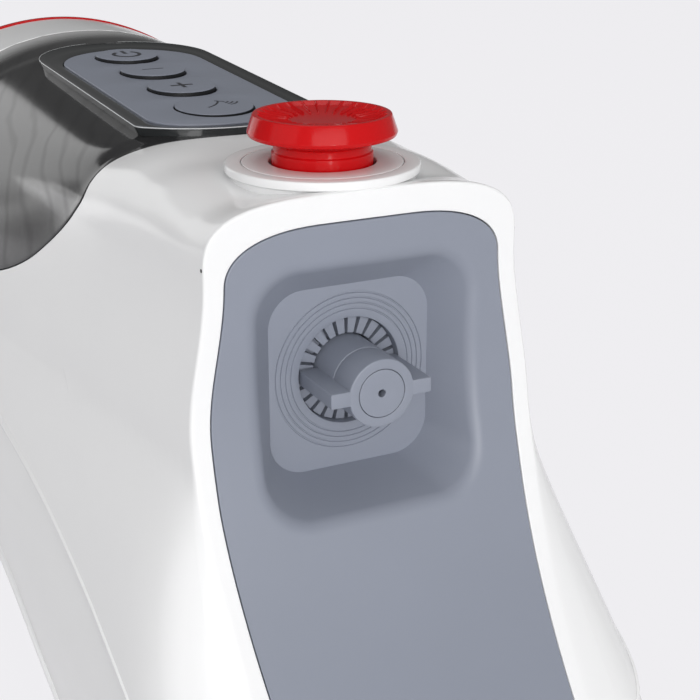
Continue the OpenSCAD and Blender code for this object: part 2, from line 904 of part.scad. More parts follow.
module boiler_bolts() {
    color("gray")
        put()
            translate([0, boiler_y, 0])
                for (k = [0:5])
                    rotate([0, 0, k * 60 + 30])
                        translate([boiler_r + 4, 0, 0]) {
                            rod_z(2.5, flange_z - 6, flange_z + 6);
                            translate([0, 0, flange_z + 3.55])
                                cylinder(r = 3.7, h = 3, $fn = 6);
                            translate([0, 0, flange_z - 6.55])
                                cylinder(r = 3.7, h = 3, $fn = 6);
                        }
}

module boiler_stand() {
    color("gray")
        put()
            translate([0, boiler_y, 0])
                difference() {
                    rod_z(boiler_r - 2, floor_z + 0.1, boiler_floor - 0.1);
                    rod_z(boiler_r - 5, floor_z - 1, boiler_floor + 1);
                    translate([-12, 20, floor_z - 1])
                        cube([24, 30, 20]);
                }
}

module heater() {
    color("gray")
        put()
            translate([0, boiler_y, 0.5 * (floor_z + boiler_floor)])
                union() {
                    rotate([0, 0, 110])
                        rotate_extrude(angle = 320)
                            translate([24, 0])
                                circle(r = 3);
                    for (a = [110, 70])
                        rotate([0, 0, a])
                            translate([24, 0, 0])
                                rotate([0, 0, a == 110 ? -20 : 20])
                                    rod_x(2.2, -1, 22);
                }
}

module thermostat() {
    color("black")
        put()
            translate([boiler_r + 0.1, boiler_y, -158])
                rod_x(8, 0, 9);
}

module thermal_fuse() {
    color("white")
        put()
            translate([-boiler_r - 6.1, boiler_y, -158])
                rotate([90, 0, 0])
                    cylinder(r = 6, h = 22, center = true);
}

module relief_valve() {
    color("gold")
        put()
            translate([-17, boiler_y + 12, 0])
                union() {
                    rod_z(5, lid_z - 4, lid_z + 1);
                    rod_z(4, lid_z, lid_z + 5);
                    translate([0, 0, lid_z + 0.1])
                        cylinder(r = 7, h = 3, $fn = 6);
                }
}

module steam_valve() {
    color("gold")
        put()
            difference() {
                union() {
                    translate([-11, valve_y - 11, valve_z - 8])
                        cube([22, 22, 16]);
                    translate([0, valve_y, 0])
                        rod_z(5, lid_z - 2, valve_z);
                }
                translate([0, valve_y, 0])
                    rod_z(2.5, lid_z - 10, valve_z + 20);
                translate([0, valve_y, 0])
                    rod_z(6.05, valve_z + 4, valve_z + 20);
                translate([0, valve_y, valve_z])
                    rod_x(4.05, 4, 20);
            }
}

module valve_coil() {
    color("black")
        put()
            translate([0, valve_y, valve_z])
                union() {
                    rod_x(4, 5, 20);
                    rod_x(10, 11.2, 36);
                }
}

module steam_elbow() {
    color("gold")
        put()
            difference() {
                union() {
                    translate([0, 0, -socket_drop])
                        rod_y(9, plate_y + 12.2, valve_y + 6);
                    translate([0, valve_y, 0])
                        rod_z(6, valve_z + 5, -socket_drop);
                }
                translate([0, 0, -socket_drop])
                    rod_y(6.05, plate_y, plate_y + 21.3);
                translate([0, 0, -socket_drop])
                    rod_y(3, plate_y, valve_y);
                translate([0, valve_y, 0])
                    rod_z(3, valve_z, -socket_drop);
            }
}

function rear_half(d) = concat(
    [for (a = [0:5:110]) [(drum_r - d) * sin(a), drum_z + (drum_r - d) * cos(a)]],
    [[66 - d, floor_z + gap]]);

module rear_panel() {
    h = rear_half(wall + tub_in + 0.7);
    n = len(h) - 1;
    color("white")
        put()
            difference() {
                along_y(tail_y - 3.3, tail_y - 0.3)
                    polygon(concat(h, [for (i = [n:-1:1]) [-h[i][0], h[i][1]]]));
                for (a = [45, 135, 225, 315])
                    translate([0.86 * dome_r * sin(a), 0, drum_z + 0.86 * dome_r * cos(a)])
                        rod_y(2.1, 0, 300);
                translate([0, 0, drum_z - 62])
                    rod_y(8.1, 0, 300);
            }
}

module red_ring() {
    color("firebrick")
        put()
            translate([0, 0, drum_z])
                difference() {
                    rod_y(ring_r, tail_y + tail_gap, tail_y + 4.3);
                    rod_y(dome_r + gap, tail_y - 5, tail_y + 20);
                }
}

module rear_dome() {
    arc = [for (k = [0:10]) [dome_r * (10 - k) / 10, 3 + dome_h * (1 - pow((10 - k) / 10, 2))]];
    color("white")
        put()
            difference() {
                union() {
                    translate([0, tail_y, drum_z])
                        rotate([-90, 0, 0])
                            rotate_extrude()
                                polygon(concat([[0, 0], [dome_r, 0]], arc));
                    for (m = [-1, 1])
                        translate([m * (grip_span / 2 + arm_w + 0.4 + lug_w / 2), 0, hinge_z]) {
                            translate([-lug_w / 2, tail_y + 1, -7])
                                cube([lug_w, hinge_y - tail_y - 1, 14]);
                            translate([0, hinge_y, 0])
                                rod_x(7, -lug_w / 2, lug_w / 2);
                        }
                }
                for (m = [-1, 1])
                    translate([0, hinge_y, hinge_z])
                        rod_x(pin_r + 0.02, m > 0 ? 20 : -70, m > 0 ? 70 : -20);
                for (a = [45, 135, 225, 315])
                    translate([0.86 * dome_r * sin(a), 0, drum_z + 0.86 * dome_r * cos(a)]) {
                        rod_y(2.1, 0, 300);
                        rod_y(3.9, tail_y + 2, tail_y + 30);
                    }
                translate([0, 0, drum_z - 62])
                    rod_y(8.1, 0, 300);
            }
}

module carry_handle() {
    drop = 56;
    color("slategray")
        put()
            translate([0, hinge_y, hinge_z])
                difference() {
                    union() {
                        for (m = [-1, 1])
                            translate([m * (grip_span / 2 + arm_w / 2), 0, 0]) {
                                rod_x(7, -arm_w / 2, arm_w / 2);
                                translate([-arm_w / 2, -5, -drop])
                                    cube([arm_w, 10, drop]);
                                translate([0, 0, -drop])
                                    rod_x(grip_r, -arm_w / 2, arm_w / 2);
                            }
                        translate([0, 0, -drop])
                            rod_x(grip_r, -grip_span / 2 - 1, grip_span / 2 + 1);
                    }
                    rod_x(pin_r + pin_clear, -70, 70);
                }
}

module handle_pins() {
    a = grip_span / 2 + 0.5;
    b = grip_span / 2 + arm_w + 0.4 + lug_w;
    color("silver")
        put()
            translate([0, hinge_y, hinge_z])
                for (m = [-1, 1])
                    rod_x(pin_r, m > 0 ? a : -b, m > 0 ? b : -a);
}

module cord_gland() {
    color("black")
        put()
            translate([0, 0, drum_z - 62])
                difference() {
                    union() {
                        rod_y(8, tail_y - 5, tail_y + 15);
                        rod_y(11, tail_y + 8, tail_y + 10.5);
                    }
                    rod_y(3.5, 0, 300);
                }
}

module rear_screws() {
    color("silver")
        put()
            for (a = [45, 135, 225, 315])
                translate([0.86 * dome_r * sin(a), 0, drum_z + 0.86 * dome_r * cos(a)]) {
                    rod_y(1.9, tail_y - 8, tail_y + 3);
                    rod_y(3.6, tail_y + 2.1, tail_y + 3.6);
                }
}

module rubber_feet() {
    color("black")
        put()
            for (m = [-1, 1], p = feet)
                translate([m * p[0], p[1], 0])
                    rod_z(foot_r, -deck_z, foot_z - 0.1);
}

upper_shell();
belly_tub();
front_panel();
socket_plate();
louvre_ring();
steam_spigot();
jet_insert();
cap_collar();
collar_insert();
filler_neck();
filler_cap();
cap_plug();
cap_gasket();
smoked_saddle();
control_bezel();
button_pad();
power_button();
minus_button();
plus_button();
steam_button();
control_board();
button_switches();
water_tank();
tank_posts();
feed_tube();
pump();
pump_cradle();
delivery_tube();
boiler_upper();
boiler_lower();
boiler_gasket();
boiler_bolts();
boiler_stand();
heater();
thermostat();
thermal_fuse();
relief_valve();
steam_valve();
valve_coil();
steam_elbow();
rear_panel();
red_ring();
rear_dome();
carry_handle();
handle_pins();
cord_gland();
rear_screws();
rubber_feet();
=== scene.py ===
import json
import math
import bmesh
import bpy
import numpy as np
from mathutils import Matrix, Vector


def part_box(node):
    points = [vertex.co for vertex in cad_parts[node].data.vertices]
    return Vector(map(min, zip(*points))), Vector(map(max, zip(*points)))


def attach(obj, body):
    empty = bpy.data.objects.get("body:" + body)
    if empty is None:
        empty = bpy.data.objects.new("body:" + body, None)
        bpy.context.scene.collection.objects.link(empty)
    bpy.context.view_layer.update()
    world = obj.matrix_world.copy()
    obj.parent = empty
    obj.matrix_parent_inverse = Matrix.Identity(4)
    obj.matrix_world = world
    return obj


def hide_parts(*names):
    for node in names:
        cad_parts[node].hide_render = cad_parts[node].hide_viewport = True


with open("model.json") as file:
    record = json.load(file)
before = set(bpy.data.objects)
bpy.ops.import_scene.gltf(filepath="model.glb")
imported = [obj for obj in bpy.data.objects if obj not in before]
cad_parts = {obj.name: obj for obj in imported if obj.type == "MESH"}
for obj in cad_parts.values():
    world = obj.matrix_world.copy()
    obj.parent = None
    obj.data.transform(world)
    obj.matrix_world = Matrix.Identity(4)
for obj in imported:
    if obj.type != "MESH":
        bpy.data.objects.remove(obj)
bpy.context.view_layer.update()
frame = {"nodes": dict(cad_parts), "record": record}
nodes = frame["nodes"]
print("frame:", len(nodes), "nodes")

mm = 0.001
collarLow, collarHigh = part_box("cap_collar")
home = np.array([0.0, (collarLow.y + collarHigh.y) / 2, collarHigh.z])  # filler axis, at the collar's top
halfTurn = math.pi


# camera: close to the front left corner, looking down
view = dict(place=(-150.5, -316.6, 78.1), turn=-26.56, tilt=20.22, lens=72.67)


def makeCamera(s):
    # stands at a place in mm from the filler axis, turned about z and tilted down
    a, e = math.radians(s["turn"]), math.radians(s["tilt"])
    back = np.array([math.sin(a) * math.cos(e), -math.cos(a) * math.cos(e), math.sin(e)])
    right = np.array([math.cos(a), math.sin(a), 0.0])
    up = np.cross(back, right)
    place = np.array(s["place"]) * mm + home
    data = bpy.data.cameras.new("camera")
    data.lens = s["lens"]
    data.clip_start, data.clip_end = 0.01, 50
    cam = bpy.data.objects.new("camera", data)
    cam.matrix_world = Matrix([[*row] for row in np.vstack([np.column_stack([right, up, back, place]), [0, 0, 0, 1]])])
    bpy.context.scene.collection.objects.link(cam)
    bpy.context.scene.camera = cam


makeCamera(view)
print("camera placed")


# mesh helpers: a sheet is a grid of points with rows and columns, in mm from the filler axis
def sheet(grid, closed=False, inside=None, keep=None):
    # joins each point of a grid with its neighbours into quads, and turns all faces away from the inside point
    rows, cols = grid.shape[:2]
    points = grid.reshape(-1, 3)
    index = np.arange(rows * cols).reshape(rows, cols)
    if closed:
        index = np.column_stack([index, index[:, 0]])
    faces = np.stack([index[:-1, :-1], index[1:, :-1], index[1:, 1:], index[:-1, 1:]], -1).reshape(-1, 4)
    corners = points[faces]
    middle = corners.mean(1)
    normal = np.cross(corners[:, 2] - corners[:, 0], corners[:, 3] - corners[:, 1])
    centre = points.mean(0) if inside is None else np.array(inside, float)
    if (normal * (middle - centre)).sum() < 0:
        faces = faces[:, ::-1]
    if keep is not None:
        faces = faces[keep(middle)]
    return points, faces


def mirrored(part):
    # x to minus x, with the order of each face turned round
    return part[0] * np.array([-1, 1, 1]), part[1][:, ::-1]


def bothSides(parts):
    # the right half and its mirror image
    return list(parts) + [mirrored(p) for p in parts]


def addPiece(name, parts, material, body="housing", stands=(), sharp=38):
    # joins the parts into one mesh, merges their shared edges, shades it and hangs it on its body
    start = np.cumsum([0] + [len(p) for p, f in parts])
    points = np.concatenate([p for p, f in parts]) * mm + home
    faces = np.concatenate([f + k for (p, f), k in zip(parts, start)])
    mesh = bpy.data.meshes.new(name)
    mesh.from_pydata(points.tolist(), [], faces.tolist())
    work = bmesh.new()
    work.from_mesh(mesh)
    bmesh.ops.remove_doubles(work, verts=work.verts, dist=3e-6)
    bmesh.ops.dissolve_degenerate(work, edges=work.edges, dist=1e-6)
    loose = [v for v in work.verts if not v.link_faces]
    bmesh.ops.delete(work, geom=loose, context="VERTS")
    work.to_mesh(mesh)
    work.free()
    mesh.polygons.foreach_set("use_smooth", np.ones(len(mesh.polygons), bool))
    mesh.set_sharp_from_angle(angle=math.radians(sharp))
    piece = bpy.data.objects.new(name, mesh)
    bpy.context.scene.collection.objects.link(piece)
    mesh.materials.append(material)
    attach(piece, body)
    if stands:
        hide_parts(*stands)
    return piece


def ease(u):
    # smooth step, three v squared less two v cubed, flat at both ends
    v = np.clip(u, 0, 1)
    return v * v * (3 - 2 * v)


def bend(a, b, c, steps):
    # quadratic curve from a to c with its corner at b, rows of points
    w = np.linspace(0, 1, steps)[:, None, None]
    return a * (1 - w) ** 2 + 2 * b * w * (1 - w) + c * w ** 2


def unit(v):
    # each vector divided by its length
    return v / np.maximum(np.linalg.norm(v, axis=-1, keepdims=True), 1e-9)


def smoothCurve(points, count):
    # cubic through the points, with each tangent along its neighbours, evenly spaced by chord
    pts = np.array(points, float)
    step = np.linalg.norm(np.diff(pts, axis=0) * np.array([1, 4]), axis=1)
    at = np.concatenate([[0], np.cumsum(step)])
    slope = np.gradient(pts, at, axis=0)
    x = np.linspace(0, at[-1], count)
    k = np.clip(np.searchsorted(at, x, side="right") - 1, 0, len(at) - 2)
    h = (at[k + 1] - at[k])[:, None]
    w = ((x - at[k])[:, None]) / h
    return (pts[k] * (1 + 2 * w) * (1 - w) ** 2 + pts[k + 1] * w ** 2 * (3 - 2 * w)
            + h * slope[k] * w * (1 - w) ** 2 - h * slope[k + 1] * w ** 2 * (1 - w))


def rounded(corners, steps=5):
    # a line through corners (x, y, radius), with an arc at each inner corner
    out = []
    for k, (x, y, r) in enumerate(corners):
        p = np.array([x, y], float)
        if r <= 0 or k == 0 or k == len(corners) - 1:
            out.append(p[None])
            continue
        a = np.array(corners[k - 1][:2]) - p
        b = np.array(corners[k + 1][:2]) - p
        a, b = a / np.linalg.norm(a), b / np.linalg.norm(b)
        half = math.acos(np.clip(a @ b, -1, 1)) / 2
        reach = r / math.tan(half)
        centre = p + (a + b) / np.linalg.norm(a + b) * r / math.sin(half)
        u, v = p + a * reach - centre, p + b * reach - centre
        swing = math.acos(np.clip(u @ v / r ** 2, -1, 1))
        w = np.linspace(0, 1, steps + 1)[:, None]
        out.append(centre + (u * np.sin((1 - w) * swing) + v * np.sin(w * swing)) / math.sin(swing))
    return np.concatenate(out)


def lathe(profile, about="z", at=(0, 0, 0), turns=128, inside=None):
    # turns a profile of (radius, height) round an axis
    r, h = np.asarray(profile, float).T[:, :, None]
    a = np.linspace(0, 2 * halfTurn, turns, endpoint=False)[None]
    c, s = r * np.cos(a), r * np.sin(a)
    h = h + 0 * a
    grid = {"z": [c, s, h], "y": [c, h, s], "x": [h, c, s]}[about]
    return sheet(np.stack(grid, -1) + np.array(at), closed=True, inside=inside)


def prism(outline, low, high, edge, axis="y", at=(0, 0, 0)):
    # an outline carried from low to high with its edges rounded and both ends closed
    q = np.asarray(outline, float)
    along = unit(np.roll(q, -1, 0) - np.roll(q, 1, 0))
    out = np.column_stack([along[:, 1], -along[:, 0]])
    area = (q[:, 0] * np.roll(q[:, 1], -1) - q[:, 1] * np.roll(q[:, 0], -1)).sum()
    out = out * np.sign(area)
    w = np.linspace(0, halfTurn / 2, 5)
    inset = np.concatenate([edge * (1 - np.sin(w)), edge * (1 - np.cos(w))])
    level = np.concatenate([low + edge * (1 - np.cos(w)), high - edge * (1 - np.sin(w))])
    rings = q[None] - out[None] * inset[:, None, None]
    mid = q.mean(0)[None, None] + 0 * q[None]
    rings = np.concatenate([mid, rings, mid])
    level = np.concatenate([[low], level, [high]])[:, None] + 0 * rings[..., 0]
    order = {"x": [level, rings[..., 0], rings[..., 1]], "y": [rings[..., 0], level, rings[..., 1]],
             "z": [rings[..., 0], rings[..., 1], level]}[axis]
    return sheet(np.stack(order, -1) + np.array(at), closed=True)


# materials
def fromHex(code):
    # sRGB hex to linear colour
    c = np.array([int(code[k:k + 2], 16) for k in (1, 3, 5)]) / 255
    c = np.where(c <= 0.04045, c / 12.92, ((c + 0.055) / 1.055) ** 2.4)
    return (*c, 1.0)


def addNode(tree, kind, inputs=None, **settings):
    # a node with its settings, values and links
    node = tree.nodes.new(kind)
    for key, value in settings.items():
        setattr(node, key, value)
    for key, value in (inputs or {}).items():
        if isinstance(value, bpy.types.NodeSocket):
            tree.links.new(value, node.inputs[key])
        else:
            node.inputs[key].default_value = value
    return node


def moulded(name, colour, shade, roughness, spread, grain, relief, coat=0.0, metallic=0.0, shine=0.5, flow=0.0,
            paintedReflection=None):
    # a surface with two close tones in soft clouds, a grain in mm and a roughness that varies a little;
    # flow is the spacing in mm of wavy lines that shine a little less; the last argument is the stretch in mm along y
    # over which the colour turns pale grey, a painted reflection
    mat = bpy.data.materials.new(name)
    mat.use_nodes = True
    tree = mat.node_tree
    shader = tree.nodes["Principled BSDF"]
    place = addNode(tree, "ShaderNodeTexCoord")
    cloud = addNode(tree, "ShaderNodeTexNoise", {"Vector": place.outputs["Object"], "Scale": 1 / (40 * mm),
                                                 "Detail": 3.0})
    fine = addNode(tree, "ShaderNodeTexNoise", {"Vector": place.outputs["Object"], "Scale": 1 / (grain * mm),
                                                "Detail": 2.0})
    tone = addNode(tree, "ShaderNodeMix", {"Factor": cloud.outputs["Fac"], "A": fromHex(shade), "B": fromHex(colour)},
                   data_type="RGBA")
    # painted reflection: over a stretch along y the colour turns pale grey
    if paintedReflection:
        split = addNode(tree, "ShaderNodeSeparateXYZ", {"Vector": place.outputs["Object"]})
        along = addNode(tree, "ShaderNodeMapRange", {"Value": split.outputs["Y"], "From Min": paintedReflection[0] * mm,
                                                     "From Max": paintedReflection[1] * mm},
                        interpolation_type="SMOOTHSTEP")
        tone = addNode(tree, "ShaderNodeMix", {"Factor": along.outputs["Result"], "A": tone.outputs["Result"],
                                               "B": fromHex(paintedReflection[2])}, data_type="RGBA")
    rough = addNode(tree, "ShaderNodeMapRange", {"Value": fine.outputs["Fac"], "To Min": roughness - spread,
                                                 "To Max": roughness + spread})
    bump = addNode(tree, "ShaderNodeBump", {"Height": fine.outputs["Fac"], "Strength": relief, "Distance": 0.05 * mm})
    for socket, out in (("Base Color", tone.outputs["Result"]), ("Roughness", rough.outputs["Result"]),
                        ("Normal", bump.outputs["Normal"])):
        tree.links.new(out, shader.inputs[socket])
    if flow:
        turned = addNode(tree, "ShaderNodeMapping", {"Vector": place.outputs["Object"], "Rotation": (0.5, 0.0, 0.6)})
        wave = addNode(tree, "ShaderNodeTexWave", {"Vector": turned.outputs["Vector"], "Scale": 0.314 / (flow * mm),
                                                   "Distortion": 6.0, "Detail": 2.0,
                                                   "Detail Scale": 0.9})
        lines = addNode(tree, "ShaderNodeMapRange", {"Value": wave.outputs["Fac"], "From Max": 0.3,
                                                     "To Min": 0.66 * shine, "To Max": shine})
        tree.links.new(lines.outputs["Result"], shader.inputs["Specular IOR Level"])
    shader.inputs["Specular IOR Level"].default_value = shine
    shader.inputs["Coat Weight"].default_value = coat
    shader.inputs["Coat Roughness"].default_value = 0.05
    shader.inputs["Metallic"].default_value = metallic
    return mat


# injection moulded in a polished tool, clean gloss
whiteAbs = moulded("glossWhiteAbs", "#ECECEC", "#E8E8E9", 0.16, 0.02, 1.2, 0.02, shine=0.3)
greyAbs = moulded("satinBlueGreyAbs", "#868B98", "#818692", 0.42, 0.04, 0.5, 0.10)  # fine spark texture, soft sheen
redAbs = moulded("glossRedAbs", "#C31014", "#BB0D11", 0.16, 0.02, 1.0, 0.02, shine=0.16)  # clean gloss
# dark, glossy, faint flow lines, and towards the rear a pale painted reflection
smokedPc = moulded("smokedPolycarbonate", "#2A2A2B", "#232324", 0.12, 0.02, 1.5, 0.02, flow=9.0,
                   paintedReflection=(99, 121, "#C4C4C4"))
# polished, near mirror
blackGloss = moulded("glossBlackAcrylic", "#2E3031", "#292B2C", 0.08, 0.02, 1.5, 0.01, shine=0.42)
# pale grey bead that stands in for the bright highlight along the tray's edge: a painted highlight
paintedHighlightEdge = moulded("paintedHighlightBevel", "#D4D6D8", "#C9CBCD", 0.15, 0.03, 1.0, 0.01, coat=0.4)
# near black; on the button skirts it is painted shade, the dark crescent of the gap round each button
blackAndPaintedShade = moulded("blackMouldedAndPaintedShade", "#141518", "#101114", 0.5, 0.06, 0.6, 0.05)  # matt, nearly lost in shadow
inkDark = moulded("darkPrintedInk", "#2A2C33", "#25272D", 0.5, 0.05, 0.6, 0.05)  # printed, matt and even
# compression moulded, dull with a fine grain
rubber = moulded("mouldedRubber", "#202021", "#1A1A1B", 0.7, 0.08, 0.6, 0.2)
# blow moulded, milky and waxy
tankPp = moulded("translucentPolypropylene", "#CFD4D6", "#C4CACD", 0.35, 0.05, 2.0, 0.05)
darkPa = moulded("darkNylon", "#2A2A2C", "#242426", 0.55, 0.06, 0.7, 0.1)  # moulded, dull and dark
palePa = moulded("paleNylon", "#D2D2CC", "#C8C8C2", 0.5, 0.06, 0.7, 0.1)  # moulded, dull and creamy
boardFr = moulded("lacqueredBoard", "#1F5A33", "#1A4E2C", 0.3, 0.05, 1.0, 0.05)  # green lacquer, half gloss
# as cast, grainy and half bright
castAl = moulded("castAluminium", "#B9BBBD", "#AEB0B3", 0.38, 0.08, 1.4, 0.25, metallic=1.0)
plated = moulded("platedSteel", "#B4B4B4", "#A4A4A6", 0.3, 0.08, 0.4, 0.1, metallic=1.0)  # zinc plated, even shine
brass = moulded("machinedBrass", "#C9A45C", "#BB9650", 0.28, 0.06, 0.5, 0.08, metallic=1.0)  # turned, warm shine
print("materials made")


# the body's skin: p runs from the top line (0) over the shoulder (1) to the foot, t from face (0) to tail (1)
body = dict(faceLead=25.0, lean=0.953, sweepZ=-43.0, toeZ=-131.0, browX=42.3, browOut=5.1, hip=26.0, swellZ=-66.0,
            swellH=90.0,
            drumR=87.6, drumZ=-80.0, tailY=247.0, footZ=-184.0, sideTop=-20.0, browTop=-2.0, browPow=2 / 3.5, dip=2.0,
            crown=2.4, pitch=23.3,
            rim=5.0, rimTop=7.2, rimR=(26.5, 13.5, 0.83), tubIn=1.0, seam=(190.0, -79.0, 0.0009),
            arch=(110.0, -128.0, 0.005))
drumTurn = math.acos((body["sideTop"] - body["drumZ"]) / body["drumR"])
footP = 1 + (body["sideTop"] - body["footZ"]) / body["pitch"]
bodyLong = body["tailY"] + body["faceLead"]


def faceY(z):
    # upright brow, then a bow forward that turns back upright at the foot
    z = np.asarray(z, float)
    bow, toe = body["sweepZ"] - body["toeZ"], body["toeZ"] - body["footZ"]
    u = np.clip(body["toeZ"] - z, 0, toe)
    out = np.clip(body["sweepZ"] - z, 0, bow) ** 2 / (2 * bow) + u - u * u / (2 * toe)
    return -body["faceLead"] - body["lean"] * out


def frontX(z):
    # half width at the face: the brow's, a little more below it, and drawn in again towards the foot
    return body["browX"] + body["browOut"] * ease((-20 - z) / 40) - 8.7 * np.maximum(0, (-75 - z) / 109) ** 1.3


def rearX(z):
    # half width at the tail: a circle down to 30 mm below its centre, then a straight taper to the foot
    r, c = body["drumR"], body["drumZ"]
    a = math.sqrt(r * r - 900)
    return np.where(z > c - 30, np.sqrt(np.maximum(0, r * r - (z - c) ** 2)), a + (66 - a) * (c - 30 - z) / 74)


def girth(p):
    # a power of p over the sum of that and the same power of 1 - p, so that it starts and ends slowly
    c = np.clip(p, 0, 1) ** 1.75
    return c / (c + (1 - np.clip(p, 0, 1)) ** 1.75)


def plainSkin(p, t):
    # superellipse brow and round tail blended along t; the hips swell out between them by a sine of the height,
    # the top dips round the filler, and the shoulders beside it rise by sine times cosine
    q = girth(p)
    low = p > 1
    zl = body["sideTop"] - body["pitch"] * (p - 1)
    c, s = np.maximum(0, np.cos(halfTurn / 2 * q)), np.sin(halfTurn / 2 * q)
    z0 = np.where(low, zl, body["sideTop"] + (body["browTop"] - body["sideTop"]) * c ** body["browPow"])
    z1 = np.where(low, zl, body["drumZ"] + body["drumR"] * np.cos(drumTurn * q))
    x0 = np.where(low, frontX(zl), body["browX"] * s ** body["browPow"])
    x1 = np.where(low, rearX(zl), body["drumR"] * np.sin(drumTurn * q))
    dip = body["dip"] * ease(t / 0.06) * (1 - ease((t - 0.17) / 0.1)) * c
    crown = body["crown"] * ease((t - 0.02) / 0.13) * (1 - ease((t - 0.2) / 0.1)) * 2 * s * c
    z = z0 + (z1 - z0) * ease((t - 0.2) / 0.75) + np.where(low, 0, crown - dip)
    swell = body["hip"] * np.sin(halfTurn / 2 * np.clip((body["swellZ"] - z) / body["swellH"], 0, 1) ** 1.1)
    x = x0 * (1 - t) + x1 * t + swell * (1 - np.exp(-t / 0.02)) * np.maximum(0, 1 - t) ** 0.7
    return np.stack([x, faceY(z) * (1 - t) + body["tailY"] * t, z], -1)


def skin(p, t):
    # the plain skin averaged over a short stretch of girth where the shoulder meets the side
    p, t = np.broadcast_arrays(np.asarray(p, float), np.asarray(t, float))
    h = 0.18 * ease(t / 0.15) * np.clip(1 - ((p - 1) / 0.5) ** 2, 0, 1) ** 2
    return sum(w * plainSkin(p + k * h, t) for k, w in ((-1, 0.125), (-0.5, 0.25), (0, 0.25), (0.5, 0.25), (1, 0.125)))


def skinNormal(p, t):
    # cross product of short steps along p and t; x fades out at the top line, where the halves meet
    pc, tc = np.clip(p, 0.03, footP), np.clip(t, 0.0008, 0.9992)
    n = unit(np.cross(skin(pc + 0.02, tc) - skin(pc - 0.02, tc), skin(pc, tc + 0.0006) - skin(pc, tc - 0.0006)))
    return n * np.stack([np.clip(p / 0.03, 0, 1) + 0 * n[..., 0], 1 + 0 * n[..., 0], 1 + 0 * n[..., 0]], -1)


def findP(t, line):
    # where the skin meets a height given as a function of y, by halving
    a, b = 1.0 + 0 * t, footP + 0 * t
    for k in range(40):
        m = (a + b) / 2
        q = skin(m, t)
        above = q[..., 2] > line(q[..., 1])
        a, b = np.where(above, m, a), np.where(above, b, m)
    return (a + b) / 2


def seamLine(y):
    # parting line between shell and tub, a parabola in y
    at, top, curve = body["seam"]
    return top - curve * (at - y) ** 2


def archLine(y):
    # lower edge of the tub, a parabola in y cut off at the foot
    at, top, curve = body["arch"]
    return np.maximum(body["footZ"], top - curve * (at - y) ** 2)


def girthOfWidth(x, t):
    # the girth at which the top of the skin is x wide
    a, b = 0 * t, 1.6 + 0 * t
    for k in range(40):
        m = (a + b) / 2
        wide = skin(m, t)[..., 0] > x
        a, b = np.where(wide, a, m), np.where(wide, m, b)
    return (a + b) / 2


def rimEdge(p, d):
    # inner edge of the rim drawn in by d, as x and z: flat top, a squarish quarter ellipse at the corner, then down
    # beside the outline
    wide, tall, square = body["rimR"]
    cornerZ = body["browTop"] - body["rimTop"] - tall
    cornerX = frontX(cornerZ) - body["rim"] - wide
    low = 0.6 * body["pitch"] / (body["sideTop"] - body["footZ"])
    end = 0.4 + low * (body["sideTop"] - cornerZ) / body["pitch"]
    s = 0.4 * girth(p) ** (1 / 1.75) + low * np.maximum(0, p - 1)
    bow = halfTurn / 2 * math.sqrt((wide ** 2 + tall ** 2) / 2)
    run = s / end * (cornerX + bow)
    a = np.clip((run - cornerX) / bow, 0, 1) * halfTurn / 2
    z = body["sideTop"] - body["pitch"] * (p - 1)
    x = np.where(s > end, frontX(z) - body["rim"] - d, np.minimum(run, cornerX) + (wide - d) * np.sin(a) ** square)
    return x, np.where(s > end, z, cornerZ + (tall - d) * np.maximum(0, np.cos(a)) ** square)


# upper shell: patch between the saddle's edge and the rim and seam, rolled at every edge
shell = dict(edge=[[0, 0.264], [0.3, 0.2665], [0.42, 0.2715], [0.58, 0.279], [0.72, 0.2815], [0.86, 0.2845],
                   [1.04, 0.2985],
                   [1.28, 0.3195], [1.55, 0.348], [1.86, 0.388], [2.13, 0.441], [2.46, 0.56], [2.66, 0.68],
                   [2.82, 0.867]],
             brow=0.9, lip=0.3, bead=1.3, saddleEdge=0.35, wall=2.4, share=0.42, faceRows=80, seamRows=130, across=64,
             hole=19.5, pipP=0.88, pipR=0.45)
tailT = shell["edge"][-1][1]


def seamRoll(t):
    # width in mm of the roll along the seam, growing behind the face
    return 1.0 + 2.0 * ease((t - 0.12) / 0.35)


def edgeCurve(count):
    # front and side edge of the saddle, in p and t
    return smoothCurve(shell["edge"], count)


